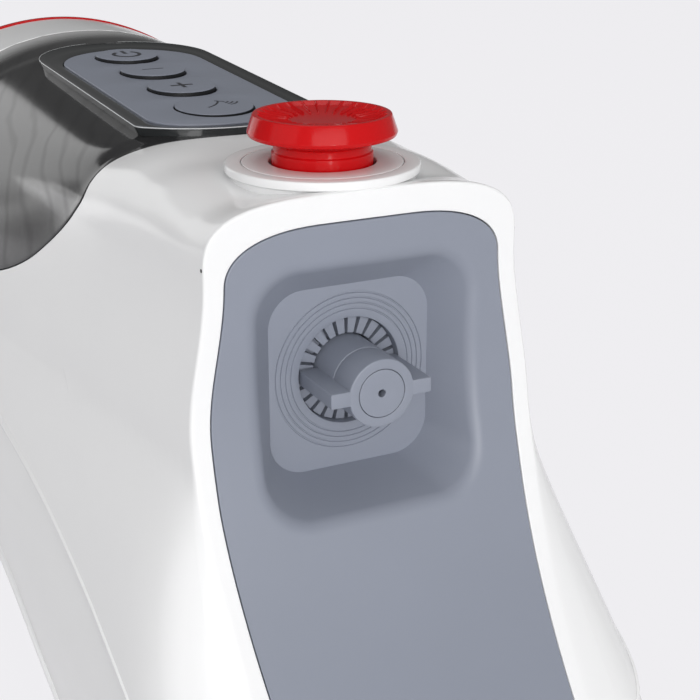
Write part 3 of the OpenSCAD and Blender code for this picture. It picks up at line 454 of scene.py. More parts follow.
def makeShell(s):
    # straight lines in p and t from the saddle's edge to the rim and seam, laid on the skin; then the rim, seam and
    # rear band as rolled strips
    n1, n2 = s["faceRows"], s["seamRows"]
    w1, w2 = np.linspace(0, 1, n1), np.linspace(0, 1, n2 + 1)[1:]
    fine = edgeCurve(2000)
    where = np.concatenate([s["share"] * w1, s["share"] + (1 - s["share"]) * w2])
    inner = fine[np.round(where * 1999).astype(int)]
    browT = s["brow"] / bodyLong * (1 + 1.5 * ease((w1 - 0.5) / 0.5))
    cornerT = browT[-1]
    cornerP = findP(np.array([0.0]), seamLine)[0]
    cornerIn = cornerP - seamRoll(0) / body["pitch"]
    faceP = inner[:n1, 0] + (cornerIn - inner[n1 - 1, 0]) * w1 ** 3
    seamT = cornerT + (tailT - cornerT) * w2
    seamP = findP(seamT, seamLine)
    outer = np.concatenate([np.column_stack([faceP, browT]),
                            np.column_stack([seamP - seamRoll(seamT) / body["pitch"], seamT])])
    span = np.linalg.norm(skin(*outer.T) - skin(*inner.T), axis=1)
    first = s["saddleEdge"] / span
    v = 0.5 - 0.5 * np.cos(halfTurn * np.linspace(0, 1, s["across"]))
    v = first[:, None] + (1 - first[:, None]) * v[None]
    flat = inner[:, None] * (1 - v[..., None]) + outer[:, None] * v[..., None]
    patch = skin(flat[..., 0], flat[..., 1])
    edge, out = skin(*inner.T), skinNormal(*inner.T)
    roll = bend(edge - s["wall"] * out, edge - s["wall"] * out, edge - s["saddleEdge"] * out, 3)
    roll = np.concatenate([roll, bend(edge - s["saddleEdge"] * out, edge, patch[:, 0], 5)[1:-1]])
    inside = (0, 100, -100)
    main = sheet(np.concatenate([roll.transpose(1, 0, 2), patch], 1), inside=inside,
                 keep=lambda c: np.hypot(c[:, 0], c[:, 1]) > s["hole"])
    # rim: from the side over the brow's roll, across the rim and back into the panel's gap
    rimP = np.concatenate([faceP, [cornerP]])
    rimT = np.concatenate([browT, [cornerT]])
    base, brow = skin(rimP, rimT), skin(rimP, 0 * rimP)
    x, z = rimEdge(rimP, 0)
    inRim = np.column_stack([x, faceY(z), z])
    way = unit(inRim - brow)
    backward = np.array([0, 1, 0])
    a = brow + way * (s["brow"] * (1 + 0.8 * ease((rimP - 3) / 2.5)))[:, None]
    rows = np.concatenate([bend(base, brow, a, 9), bend(a, (a + inRim) / 2, inRim - way * s["lip"], 5)[1:],
                           bend(inRim - way * s["lip"], inRim, inRim + backward * s["lip"], 4)[1:],
                           (inRim + backward * s["wall"])[None]])
    rim = sheet(rows, inside=inside)
    # seam: along the lower edge right to the tail
    tailRows = np.linspace(tailT, 1, 26)
    t = np.concatenate([[cornerT], seamT, tailRows[1:]])
    p = findP(t, seamLine)
    base, edge, out = skin(p - seamRoll(t) / body["pitch"], t), skin(p, t), skinNormal(p, t)
    r = seamRoll(t)[:, None]
    bead = s["bead"] * ease((t - 0.004) / 0.02)[:, None]
    rows = np.concatenate([bend(base, edge + bead * out, edge - 0.6 * out, 11), (edge - (s["wall"] + r) * out)[None]])
    seam = sheet(rows, inside=inside)
    # rear band behind the saddle
    endT = 1 - 0.6 / bodyLong
    rows = np.concatenate([tailRows[:-1], [endT]])[:, None]
    edgeP = inner[-1, 0]
    startP = flat[-1, 0, 0]
    lowP = (findP(rows[:, 0], seamLine) - seamRoll(rows[:, 0]) / body["pitch"])[:, None]
    topP = np.linspace(0, startP, 44)[None] + 0 * rows
    sideP = edgeP + (lowP - edgeP) * v[-1][None]
    bands = []
    for columns, ledge in ((topP, True), (sideP, False)):
        grid = skin(columns, rows)
        last, out = skin(columns[-1], 1 + 0 * columns[-1]), skinNormal(columns[-1], 1 + 0 * columns[-1])
        tail = np.concatenate([bend(grid[-1], last, last - 0.6 * out, 5)[1:], (last - s["wall"] * out)[None]])
        front = np.zeros((0, *grid.shape[1:]))
        if ledge:
            e, n = grid[0], skinNormal(columns[0], rows[0])
            grid = grid[1:]
            soft = skin(columns[0], rows[0] + s["saddleEdge"] / bodyLong)
            front = np.concatenate([(e - s["wall"] * n)[None], bend(e - s["saddleEdge"] * n, e, soft, 5)])
        bands.append(sheet(np.concatenate([front, grid, tail]), inside=inside))
    return bothSides([main, rim, seam, *bands])


def makePips(s):
    # a small shallow disc at each side of the brow
    at = skin(np.array([s["pipP"]]), np.array([0.004]))[0]
    profile = rounded([(0, -0.5, 0), (s["pipR"], -0.5, 0.1), (s["pipR"], 0.12, 0.1), (0, 0.12, 0)], 4)
    return bothSides([lathe(profile, "x", tuple(at), 24)])


addPiece("rimPips", makePips(shell), blackAndPaintedShade)
addPiece("upperShell", makeShell(shell), whiteAbs, stands=["upper_shell"], sharp=50)
print("upper shell")


# lower tub: the skin drawn in a little, from the seam to the arched edge, then under to the flat belly
tub = dict(edge=3.6, bead=3.2, bellyX=50.0, tuck=0.06, rows=120, wall=2.5)


def makeTub(s):
    # rows along t: down the skin from the seam to the arched edge, round its bead and under to the flat belly
    inset = body["tubIn"]
    w = np.linspace(0, 1, s["rows"])
    t = 0.004 + 0.994 * w ** 1.4
    top, low = findP(t, seamLine) - s["tuck"], findP(t, archLine)
    v = np.linspace(0, 1, 40)[:, None]
    p = top + (low - s["edge"] / body["pitch"] - top) * v
    side = skin(p, t) - inset * skinNormal(p, t + 0 * p)
    n = skinNormal(low, t)
    edge = skin(low, t) - inset * n
    under = edge - s["edge"] * n * np.array([1, 1, 0])
    bellyX = np.minimum(s["bellyX"], edge[:, 0] - 6)
    belly = np.column_stack([bellyX, edge[:, 1], body["footZ"] + 0 * bellyX])
    middle = belly * np.array([0, 1, 1])
    rows = np.concatenate([side, bend(side[-1], edge + s["bead"] * n, under, 11)[1:],
                           bend(under, (under + belly) / 2, belly, 6)[1:],
                           bend(belly, (belly + middle) / 2, middle, 8)[1:]])
    inside = (0, 100, -120)
    main = sheet(rows, inside=inside)
    # the rim carried on down the toe, and the lip under the panel
    lipZ = body["footZ"] + body["rim"]
    p = np.linspace(findP(np.array([0.0]), seamLine)[0] - s["tuck"], footP - 0.002, 60)
    base = skin(p, 0.004 + 0 * p) - inset * skinNormal(p, 0.004 + 0 * p)
    z = np.maximum(skin(p, 0 * p)[:, 2], lipZ)
    drop = lipZ - np.minimum(skin(p, 0 * p)[:, 2], lipZ)
    corner = skin(p, 0 * p) + np.array([-0.6, inset, 0])
    inRim = np.column_stack([frontX(z) - body["rim"] - drop / body["rim"], faceY(z) + inset, z])
    a = corner + unit(inRim - corner) * 1.5
    back = np.array([0, s["wall"], 0])
    rows = np.concatenate([bend(base, corner, a, 7), bend(a, (a + inRim) / 2, inRim, 4)[1:], (inRim + back)[None]])
    rim = sheet(rows, inside=inside)
    x = np.linspace(inRim[-1, 0], 0, 12)[:, None] * np.array([1, 0, 0])
    foot = skin(np.array([footP]), np.array([0.004]))[0]
    toe = np.array([[0, inRim[-1, 1] + s["wall"], lipZ], [0, inRim[-1, 1], lipZ],
                    [0, foot[1] + inset, body["footZ"] + 0.8],
                    [0, foot[1] + inset + 1, body["footZ"]], [0, foot[1] + inset + 12, body["footZ"]]])
    lip = sheet(toe[:, None] + x[None], inside=inside)
    return bothSides([main, rim, lip])


addPiece("bellyTub", makeTub(tub), whiteAbs, stands=["belly_tub"], sharp=50)
print("lower tub")


# front panel: sheet between the rim's outline and the recess, then the recess wall with a rolled lip
panel = dict(gap=0.3, lip=0.35, depth=2.3, front=(30.0, -83.0, -20.0, 12.0), floor=(22.4, -77.2, -28.2, 9.5),
             plateY=-15.3, roll=2.6)


def roundRect(size, grow, count):
    # right half of a rounded rectangle, from its top middle to its bottom middle, evenly spaced
    half, low, high, r = np.array(size) + np.array([1, -1, 1, 1]) * grow
    line = rounded([(0, high, 0), (half, high, r), (half, low, r), (0, low, 0)], 24)
    run = np.concatenate([[0], np.cumsum(np.linalg.norm(np.diff(line, axis=0), axis=1))])
    at = np.linspace(0, run[-1], count)
    return np.column_stack([np.interp(at, run, line[:, 0]), np.interp(at, run, line[:, 1])])


def onFace(q):
    # x and z carried forward onto the bow of the face
    return np.stack([q[..., 0], faceY(q[..., 1]), q[..., 1]], -1)


def makePanel(s):
    # straight lines between the rim's outline and the recess's, laid on the face, then round the lip and down the
    # recess wall
    count = 160
    lowZ = body["footZ"] + body["rim"] + s["gap"]
    p = np.linspace(0, 1 + (body["sideTop"] - lowZ) / body["pitch"], 500)
    line = np.concatenate([np.column_stack(rimEdge(p, s["gap"])), [[0, lowZ]]])
    run = np.concatenate([[0], np.cumsum(np.linalg.norm(np.diff(line, axis=0), axis=1))])
    # the outline's share of length grows slowly beside the recess and fast below it
    w = np.linspace(0, 1, count)
    share = (0.55 * w + 0.45 * w ** 3) * run[-1]
    outer = np.column_stack([np.interp(share, run, line[:, 0]), np.interp(share, run, line[:, 1])])
    recess, mouth = roundRect(s["front"], s["roll"], count), onFace(roundRect(s["front"], 0, count))
    floor = roundRect(s["floor"], 0, count)
    edge = onFace(outer)
    inward = unit(onFace(recess) - edge)
    start = outer + unit(recess - outer) * s["lip"]
    v = np.linspace(0, 1, 50)[1:, None, None]
    face = onFace(start[None] * (1 - v) + recess[None] * v)
    back = np.array([0, 1, 0])
    border = np.concatenate([(edge + back * s["depth"])[None],
                             bend(edge + back * s["lip"], edge, edge + inward * s["lip"], 5)])
    bottom = np.column_stack([floor[:, 0], s["plateY"] + 0 * floor[:, 0], floor[:, 1]])
    turned = mouth + unit(bottom - mouth) * s["roll"]
    foot = bottom + unit(mouth - bottom) * 0.5
    w = np.linspace(0, 1, 8)[1:, None, None]
    wall = np.concatenate([bend(face[-1], mouth, turned, 12)[1:], turned + (foot - turned) * w, bottom[None]])
    return bothSides([sheet(np.concatenate([border, face, wall]), inside=(0, 60, -90))])


addPiece("frontPanel", makePanel(panel), greyAbs, stands=["front_panel"], sharp=60)
print("front panel")


# hose socket: plate with ring grooves, well with radial teeth, spigot with two lugs
socket = dict(z=-51.4, plateY=-15.3, wellR=14.2, grooves=(16.6, 18.0, 19.4, 20.8), grooveW=0.28, grooveD=0.3, teeth=24,
              spigotR=8.9, spigotL=17.9, lugSpan=27.6, lugT=3.9, jetR=1.0, floorD=8.6)


def makePlate(s):
    # polar grid from the well's edge to the rounded square, dented at each groove
    a = np.linspace(0, 2 * halfTurn, 288, endpoint=False)
    q = roundRect(panel["floor"], 0.2, 400)
    q = np.concatenate([q, q[::-1] * [-1, 1]])
    angle = np.arctan2(q[:, 1] - s["z"], q[:, 0])
    order = np.argsort(angle)
    reach = np.interp(a, angle[order] % (2 * halfTurn), np.hypot(q[:, 0], q[:, 1] - s["z"])[order], period=2 * halfTurn)
    radii = [s["wellR"], s["wellR"], s["wellR"] + 0.1, s["wellR"] + 0.3]
    dent = [8.0, 0.35, 0.08, 0.0]
    for g in s["grooves"]:
        radii += [g - s["grooveW"], g - 0.4 * s["grooveW"], g + 0.4 * s["grooveW"], g + s["grooveW"]]
        dent += [0.0, s["grooveD"], s["grooveD"], 0.0]
    radii, dent = np.array(radii)[:, None] + 0 * a, np.array(dent)[:, None] + 0 * a
    more = radii[-1] + (reach - radii[-1]) * np.linspace(0, 1, 6)[1:, None]
    radii, dent = np.concatenate([radii, more]), np.concatenate([dent, 0 * more])
    grid = np.stack([radii * np.cos(a), s["plateY"] + dent, s["z"] + radii * np.sin(a)], -1)
    return [sheet(grid, closed=True, inside=(0, 60, s["z"]))]


def makeTeeth(s):
    # ring whose front steps up and down once a tooth
    shape = np.array([[-0.5, 0], [-0.37, 0], [-0.345, 1], [-0.31, 1.0], [0, 1], [0.31, 1.0], [0.345, 1], [0.37, 0]])
    a = ((np.arange(s["teeth"])[:, None] + 0.5 + shape[:, 0]) * 2 * halfTurn / s["teeth"]).ravel()
    up = np.tile(shape[:, 1], s["teeth"])
    back = s["plateY"] + s["floorD"]
    radii = np.array([s["spigotR"] + 0.4, s["spigotR"] + 0.4, s["spigotR"] + 0.6, s["wellR"] - 0.3, s["wellR"] - 0.2,
                      s["wellR"] - 0.2])
    rise = np.array([0, 2.1, 2.4, 2.4, 2.1, 0])[:, None] * up + np.array([0, 4.2, 4.2, 4.2, 4.2, 0])[:, None]
    grid = np.stack([radii[:, None] * np.cos(a), back - rise, s["z"] + radii[:, None] * np.sin(a)], -1)
    return [sheet(grid, closed=True, inside=(0, 60, s["z"]))]


def makeSpigot(s):
    # turned barrel with a shallow groove, and two lugs as prisms along y
    tip = s["plateY"] - s["spigotL"]
    r = s["spigotR"]
    barrel = rounded([(6.0, tip + 2.4, 0), (6.36, tip + 0.5, 0.1), (6.36, tip, 0.12), (r, tip, 0.35),
                      (r, tip + 9.0, 0.1), (r - 0.25, tip + 9.15, 0.1),
                      (r - 0.25, tip + 9.6, 0.1), (r, tip + 9.8, 0.1), (r, s["plateY"] + 9, 0),
                      (r + 3, s["plateY"] + 9, 0), (r + 3, s["plateY"] + 12, 0)], 4)
    parts = [lathe(barrel, "y", (0, 0, s["z"]), 144)]
    half = s["lugT"] / 2
    outline = rounded([(r - 1, half, 0), (s["lugSpan"] / 2, half, 0.35), (s["lugSpan"] / 2, -half, 0.35),
                       (r - 1, -half, 0)], 5)
    for m in (-1, 1):
        parts.append(prism(outline * [m, 1], tip + 0.02, s["plateY"] + 1, 0.25, "y", (0, 0, s["z"])))
    return parts


def makeJet(s):
    # turned ring with a small bore
    tip = s["plateY"] - s["spigotL"]
    profile = rounded([(s["jetR"], tip + 2.5, 0), (s["jetR"], tip, 0.2), (6.2, tip - 0.02, 0.15),
                       (6.22, tip + 0.4, 0.1), (6.1, tip + 2.5, 0)], 5)
    return [lathe(profile, "y", (0, 0, s["z"]), 96)]


addPiece("socketPlate", makePlate(socket), greyAbs, stands=["socket_plate"])
addPiece("louvreRing", makeTeeth(socket), greyAbs, stands=["louvre_ring"])
addPiece("steamSpigot", makeSpigot(socket), greyAbs, stands=["steam_spigot"])
addPiece("jetInsert", makeJet(socket), greyAbs, stands=["jet_insert"])
print("hose socket")


# filler: two-step collar, its insert, and the red cap with a ribbed dish
filler = dict(capR=19.0, neckR=12.9, capH=12.1, base=-3.4, ribs=28, ribH=0.6, collarR=24.8, bore=13.6)


def makeCollar(s):
    # turned ring with a step below its edge
    r = s["collarR"]
    ring = rounded([(18.6, -7.6, 0), (20.5, -7.6, 0.1), (20.5, -4.6, 0), (r - 1.2, -4.6, 0), (r - 1.2, -2.5, 0.6),
                    (r, -2.1, 0.35), (r, 0, 0.5),
                    (20.75, 0, 0.2), (20.75, -1.0, 0), (18.6, -1.0, 0)], 5)
    return [lathe(ring, turns=192, inside=(21.5, 0, -2))]


def makeInsert(s):
    # turned ring that fills the step inside the collar
    ring = rounded([(18.2, -7.2, 0), (18.2, -1.0, 0), (20.45, -1.0, 0), (20.45, 0, 0.2), (s["bore"], 0, 0.35),
                    (s["bore"], -1.6, 0), (16.6, -1.6, 0), (16.6, -7.2, 0)], 5)
    return [lathe(ring, turns=192, inside=(17, 0, -0.8))]


def makeCap(s):
    # lathe profile whose dish carries thin radial ribs
    r, n, h = s["capR"], s["neckR"], s["capH"]
    profile = rounded([(0, s["base"], 0), (n, s["base"], 0.4), (n, 2.5, 0.3), (n - 0.45, 2.9, 0.2),
                       (n - 0.45, 4.7, 0.5), (r - 0.3, 6.7, 0.5),
                       (r, 7.6, 0.5), (r - 1.55, h, 0.5), (r - 2.7, h - 0.05, 0.4), (r - 4.2, h - 0.9, 1.0)], 5)
    dish = np.column_stack([np.linspace(r - 4.4, 0.0, 40), np.zeros(40)])
    dish[:, 1] = h - 2.3 + 1.35 * (dish[:, 0] / (r - 4.4)) ** 2
    profile = np.concatenate([profile, dish])
    step = np.array([-0.5, -0.28, -0.1, -0.07, -0.035, 0, 0.035, 0.07, 0.1, 0.28])
    a = ((np.arange(s["ribs"])[:, None] + 0.5 + step) * 2 * halfTurn / s["ribs"]).ravel()
    pulse = np.tile(np.clip(1.3 - np.abs(step) / 0.06, 0, 1), s["ribs"])
    top = (profile[:, 1] > h - 2.5) & (profile[:, 0] < r - 2.4)
    window = np.where(top, ease((profile[:, 0] - 8.2) / 0.9) * ease((r - 2.5 - profile[:, 0]) / 0.8), 0)
    lift = s["ribH"] * window[:, None] * pulse[None]
    rad, z = profile.T[:, :, None]
    return [sheet(np.stack([rad * np.cos(a), rad * np.sin(a), z + lift], -1), closed=True)]


addPiece("capCollar", makeCollar(filler), whiteAbs, stands=["cap_collar"])
addPiece("collarInsert", makeInsert(filler), whiteAbs, stands=["collar_insert"])
addPiece("fillerCap", makeCap(filler), redAbs, body="cap", stands=["filler_cap"])
print("filler")


# smoked saddle: patch between the bezel's outline and the saddle's edge
deck = dict(y=155.95, z=4.653, tilt=2.4676, bezel=(29.6, 29.2, -108.2, 46.0, 4.0), pad=(23.6, 14.6, -102.4, 40.0, 12.0),
            top=0.1, thick=4.0, keyPitch=27.1, keyR=10.4, steamR=11.6, lift=(1.15, 1.15, 1.15, 0.5))


def onDeck(local):
    # from the control panel's own frame to the body's
    c, s = math.cos(math.radians(deck["tilt"])), math.sin(math.radians(deck["tilt"]))
    x, y, z = np.moveaxis(np.asarray(local, float), -1, 0)
    return np.stack([x, deck["y"] + y * c - z * s, deck["z"] + y * s + z * c], -1)


def trayOutline(size, grow, counts=(40, 60, 24, 40)):
    # right half of the tray, from its rear middle to its front middle: round end, straight side, corner, bowed front
    x, back, front, bow, r = size
    middle = front + bow
    cornerY = middle - math.sqrt((bow - r) ** 2 - (x - r) ** 2)
    turn = math.atan2(middle - cornerY, x - r)
    a = np.linspace(0, halfTurn / 2, counts[0])
    rear = np.column_stack([(x + grow) * np.sin(a), back - x + (x + grow) * np.cos(a)])
    side = np.column_stack([x + grow + np.zeros(counts[1]), np.linspace(back - x, cornerY, counts[1])])
    a = np.linspace(0, turn, counts[2])
    corner = np.column_stack([x - r + (r + grow) * np.cos(a), cornerY - (r + grow) * np.sin(a)])
    a = np.linspace(turn, halfTurn / 2, counts[3])
    end = np.column_stack([(bow + grow) * np.cos(a), middle - (bow + grow) * np.sin(a)])
    end[-1, 0] = 0
    return np.concatenate([rear, side[1:], corner[1:], end[1:]])


def bezelOutline(grow):
    # outline of the tray, grown by so many mm
    return trayOutline(deck["bezel"], grow)


def padOutline(grow):
    # outline of the pad, grown by so many mm
    return trayOutline(deck["pad"], grow)


saddle = dict(gap=0.3, edge=0.35, under=1.6, lift=1.3, wall=2.2, across=48, share=(0, 0.24, 0.39, 0.75, 0.83, 1),
              reach=(0, 0.1, 0.17, 0.9, 1.0, 1.5))


def makeSaddle(s):
    # straight lines in p and t from the tray's opening to the shell's edge, laid on the skin, with both edges rolled
    hole = bezelOutline(-s["under"])[::-1]
    count = len(hole)
    y = onDeck(np.column_stack([hole, np.zeros(count)]))[:, 1]
    holeT = (y + body["faceLead"]) / bodyLong
    inner = np.column_stack([girthOfWidth(hole[:, 0], holeT), holeT])
    inner[0, 0] = inner[-1, 0] = 0
    # outer edge: along the shell's edge moved back by the gap, then up the rear edge to the top
    line = edgeCurve(2000)
    metric = np.array([20.0, bodyLong])
    across = np.column_stack([-np.gradient(line[:, 1]) * metric[1], np.gradient(line[:, 0]) * metric[0]])
    line = line + s["gap"] * unit(across) / metric
    rear = np.column_stack([np.linspace(line[-1, 0], 0, 1000), np.full(1000, tailT - s["gap"] / bodyLong)])
    line = np.concatenate([line, rear[1:]])
    # the share of each stretch is set so that the strips run straight across
    at = np.interp(np.linspace(0, 1, count), s["share"], s["reach"]) * 1999
    k = np.minimum(at.astype(int), len(line) - 2)
    outer = line[k] + (line[k + 1] - line[k]) * (at - k)[:, None]
    outer[0, 0] = outer[-1, 0] = 0
    span = np.linalg.norm(skin(*outer.T) - skin(*inner.T), axis=1)
    off = np.minimum(s["edge"] / span, 0.3)[:, None]
    v = off + (1 - 2 * off) * np.linspace(0, 1, s["across"])[None]
    flat = inner[:, None] * (1 - v[..., None]) + outer[:, None] * v[..., None]
    # a soft swell up to the tray along its sides
    rise = s["lift"] * ease((hole[:, 0] - 15) / 10) * np.clip(span / 14, 0, 1)
    patch = skin(flat[..., 0], flat[..., 1])
    patch[..., 2] += rise[:, None] * (1 - ease((v - 0.2) / 0.7))
    patch = patch.transpose(1, 0, 2)
    rows = []
    for curve, near, up in ((inner, patch[0], rise), (outer, patch[-1], 0 * rise)):
        e, n = skin(*curve.T) + np.column_stack([0 * up, 0 * up, up]), skinNormal(*curve.T)
        rows.append(np.concatenate([(e - s["wall"] * n)[None], bend(e - s["edge"] * n, e, near, 5)[:-1]]))
    return bothSides([sheet(np.concatenate([rows[0], patch, rows[1][::-1]]), inside=(0, 120, -60))])


addPiece("smokedSaddle", makeSaddle(saddle), smokedPc, stands=["smoked_saddle"], sharp=50)
print("smoked saddle")


# controls: glossy tray, pad, round buttons and their symbols
def makeBezel(s):
    # rings of the tray's outline from the hidden foot over the edge to the pad's opening; the wall leans in along the
    # sides and out at the front
    outer, inner = bezelOutline, padOutline
    front = ease((-98 - outer(0)[:, 1:]) / 8)

    def wall(side, fore):
        # grown by one amount along the sides and by another at the front
        return outer(side) + front * (outer(fore) - outer(side))

    top, low = s["top"], s["top"] - s["thick"]
    rings = [(wall(-1.6, 0.55), low), (wall(-1.2, 0.35), top - 2.6), (wall(-0.2, -0.05), top - 0.5),
             (outer(-0.07), top - 0.03), (outer(-0.25), top + 0.08), (outer(-0.5), top + 0.02),
             (outer(-0.8), top - 0.15), ((outer(0) + inner(0)) / 2, top - 0.35), (inner(0.6), top - 0.4),
             (inner(0.4), top - 0.5),
             (inner(0.3), top - 0.8), (inner(0.3), low)]
    grid = np.stack([onDeck(np.column_stack([q, np.full(len(q), z)])) for q, z in rings])
    return bothSides([sheet(grid, inside=tuple(onDeck([26.5, -40, -2.5])))])


def makeHighlightBead(s):
    # slim bead along the tray's upper edge, pale grey as its painted highlight
    top = s["top"]
    rings = [(bezelOutline(d), top + z) for d, z in ((-0.16, -0.2), (-0.04, -0.12), (0.0, 0.0), (-0.04, 0.1),
                                                     (-0.14, 0.14), (-0.24, 0.1))]
    grid = np.stack([onDeck(np.column_stack([q, np.full(len(q), z)])) for q, z in rings])
    return bothSides([sheet(grid, inside=tuple(onDeck([0, -40, -9])))])


def keyPlaces(s):
    # even pitch towards the front, the last a little further
    y = [-k * s["keyPitch"] for k in range(4)]
    y[3] -= 0.4
    return y


def makePad(s):
    # flat outline with four holes, filled and rounded, then turned into the panel's frame
    data = bpy.data.curves.new("padOutline", "CURVE")
    data.dimensions = "2D"
    data.fill_mode = "BOTH"
    data.extrude, data.bevel_depth, data.offset, data.bevel_resolution = 1.2, 0.3, -0.3, 3
    half = padOutline(0)
    loops = [np.concatenate([half, half[::-1][1:-1] * [-1, 1]])]
    a = np.linspace(0, 2 * halfTurn, 96, endpoint=False)
    for k, y in enumerate(keyPlaces(s)):
        r = s["steamR"] if k == 3 else s["keyR"]
        reach = np.maximum(r + 0.35, -1.3 * np.sin(a) + np.sqrt((r + 0.1) ** 2 - (1.3 * np.cos(a)) ** 2))
        loops.append(np.column_stack([reach * np.cos(a), y + reach * np.sin(a)]))
    for loop in loops:
        line = data.splines.new("POLY")
        line.points.add(len(loop) - 1)
        line.points.foreach_set("co", np.column_stack([loop, np.zeros(len(loop)), np.ones(len(loop))]).ravel())
        line.use_cyclic_u = True
    rough = bpy.data.objects.new("padOutline", data)
    bpy.context.scene.collection.objects.link(rough)
    mesh = bpy.data.meshes.new_from_object(rough.evaluated_get(bpy.context.evaluated_depsgraph_get()))
    bpy.data.objects.remove(rough)
    co = np.zeros(len(mesh.vertices) * 3)
    mesh.vertices.foreach_get("co", co)
    points = onDeck(co.reshape(-1, 3) - np.array([0, 0, 1.5]))
    mesh.calc_loop_triangles()
    tris = np.zeros(len(mesh.loop_triangles) * 3, int)
    mesh.loop_triangles.foreach_get("vertices", tris)
    return points, tris.reshape(-1, 3)


def makeKey(r, y, lift):
    # crowned cap with a rounded edge, on a straight skirt with a hidden flange
    crown = np.column_stack([np.linspace(r - 0.7, 0, 16), np.zeros(16)])
    crown[:, 1] = lift - 0.12 * (crown[:, 0] / r) ** 2
    edge = rounded([(0, lift - 0.3, 0), (r, lift - 0.3, 0), (r, lift - 0.13, 0.12), (r - 0.9, lift - 0.1, 0)], 6)
    skirt = rounded([(0, -4.6, 0), (r + 0.9, -4.6, 0.2), (r + 0.9, -3.5, 0.2), (r - 0.05, -3.5, 0.2),
                     (r - 0.05, lift - 0.2, 0), (0, lift - 0.2, 0)], 6)
    parts = [lathe(q, turns=96) for q in (np.concatenate([edge[:-1], crown]), skirt)]
    return [(onDeck(q + np.array([0, y, 0])), f) for q, f in parts]


def stroke(path, width, y, lift):
    # a flat line of even width, laid on a button of that lift
    q = np.asarray(path, float)
    along = unit(np.gradient(q, axis=0))
    over = np.column_stack([-along[:, 1], along[:, 0]]) * width / 2
    dist = np.hypot(*q.T)
    z = lift - 0.12 * (dist / deck["keyR"]) ** 2 + 0.045
    rows = np.stack([np.column_stack([q + over, z - 0.1]), np.column_stack([q + over, z]),
                     np.column_stack([q - over, z]), np.column_stack([q - over, z - 0.1])])
    return sheet(onDeck(rows + np.array([0, y, 0])), inside=tuple(onDeck([0, y, -5])))


def arc(x, y, r, a, b, n=24):
    # points on a circle between two angles in degrees
    w = np.radians(np.linspace(a, b, n))
    return np.column_stack([x + r * np.cos(w), y + r * np.sin(w)])


def line(x0, y0, x1, y1, n=8):
    # points on a straight line
    return np.column_stack([np.linspace(x0, x1, n), np.linspace(y0, y1, n)])


symbols = dict(width=(1.3, 0.6, 1.2, 0.6), power=[arc(0, 0, 4.4, 125, 415), line(0, 0.8, 0, 6.0)],
               minus=[line(-3.6, 0, 3.6, 0)],
               plus=[line(-3.6, 0, 3.6, 0), line(0, -3.6, 0, 3.6)],
               steam=[smoothCurve([(-2.6, -2.1), (-0.6, -0.7), (0.9, 0.9), (2.1, 2.7), (2.8, 4.3), (2.9, 5.6)], 24),
                      line(2.2, 5.6, 4.7, 3.5),
                      *[arc(3.6, 4.3, r, -74, -18, 12) for r in (2.3, 3.7, 5.1)]])


def makeControls(s):
    # tray, pale bead of painted highlight and pad on the housing, then each button with its skirt and sign on its own
    # body
    addPiece("controlBezel", makeBezel(s), blackGloss, stands=["control_bezel"])
    addPiece("bezelHighlightBead", makeHighlightBead(s), paintedHighlightEdge)
    points, tris = makePad(s)
    mesh = bpy.data.meshes.new("buttonPad")
    mesh.from_pydata((points * mm + home).tolist(), [], tris.tolist())
    work = bmesh.new()
    work.from_mesh(mesh)
    bmesh.ops.remove_doubles(work, verts=work.verts, dist=3e-6)
    bmesh.ops.recalc_face_normals(work, faces=work.faces)
    work.to_mesh(mesh)
    work.free()
    mesh.polygons.foreach_set("use_smooth", np.ones(len(mesh.polygons), bool))
    mesh.set_sharp_from_angle(angle=math.radians(25))
    mesh.materials.append(greyAbs)
    pad = bpy.data.objects.new("buttonPad", mesh)
    bpy.context.scene.collection.objects.link(pad)
    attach(pad, "housing")
    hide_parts("button_pad")
    for k, (name, y) in enumerate(zip(("power", "minus", "plus", "steam"), keyPlaces(s))):
        cap, skirt = makeKey(s["steamR"] if k == 3 else s["keyR"], y, s["lift"][k])
        rides = name + "_key"
        addPiece(name + "Button", [cap], greyAbs, body=rides, stands=[name + "_button"])
        # the skirt's near black is painted shade: the dark crescent in the gap round the button
        addPiece(name + "ShadeSkirt", [skirt], blackAndPaintedShade, body=rides)
        addPiece(name + "Symbol", [stroke(q, symbols["width"][k], y, s["lift"][k]) for q in symbols[name]], inkDark,
                 body=rides)


makeControls(deck)
print("controls")


# rear: red ring, domed cover with handle lugs, folding handle, gland, screws and feet
rear = dict(tailY=247.0, drumZ=-80.0, ringR=88.1, domeR=82.0, domeH=8.0, hingeY=266.1, hingeZ=-62.0, span=81.2,
            armW=8.0, lugW=7.0, drop=56.0,
            gripR=7.0, screwAt=0.86, glandDrop=62.0)


def makeRing(s):
    # turned flat ring with rounded edges
    y = s["tailY"]
    r = s["ringR"]
    profile = rounded([(s["domeR"] + 0.3, y + 0.3, 0), (r, y + 0.3, 0.8), (r, y + 4.3, 1.4),
                       (s["domeR"] + 0.3, y + 4.3, 0.4), (s["domeR"] + 0.3, y + 0.5, 0)], 6)
    return [lathe(profile, "y", (0, 0, s["drumZ"]), 256, inside=(0, y + 2, s["drumZ"] + r - 3))]


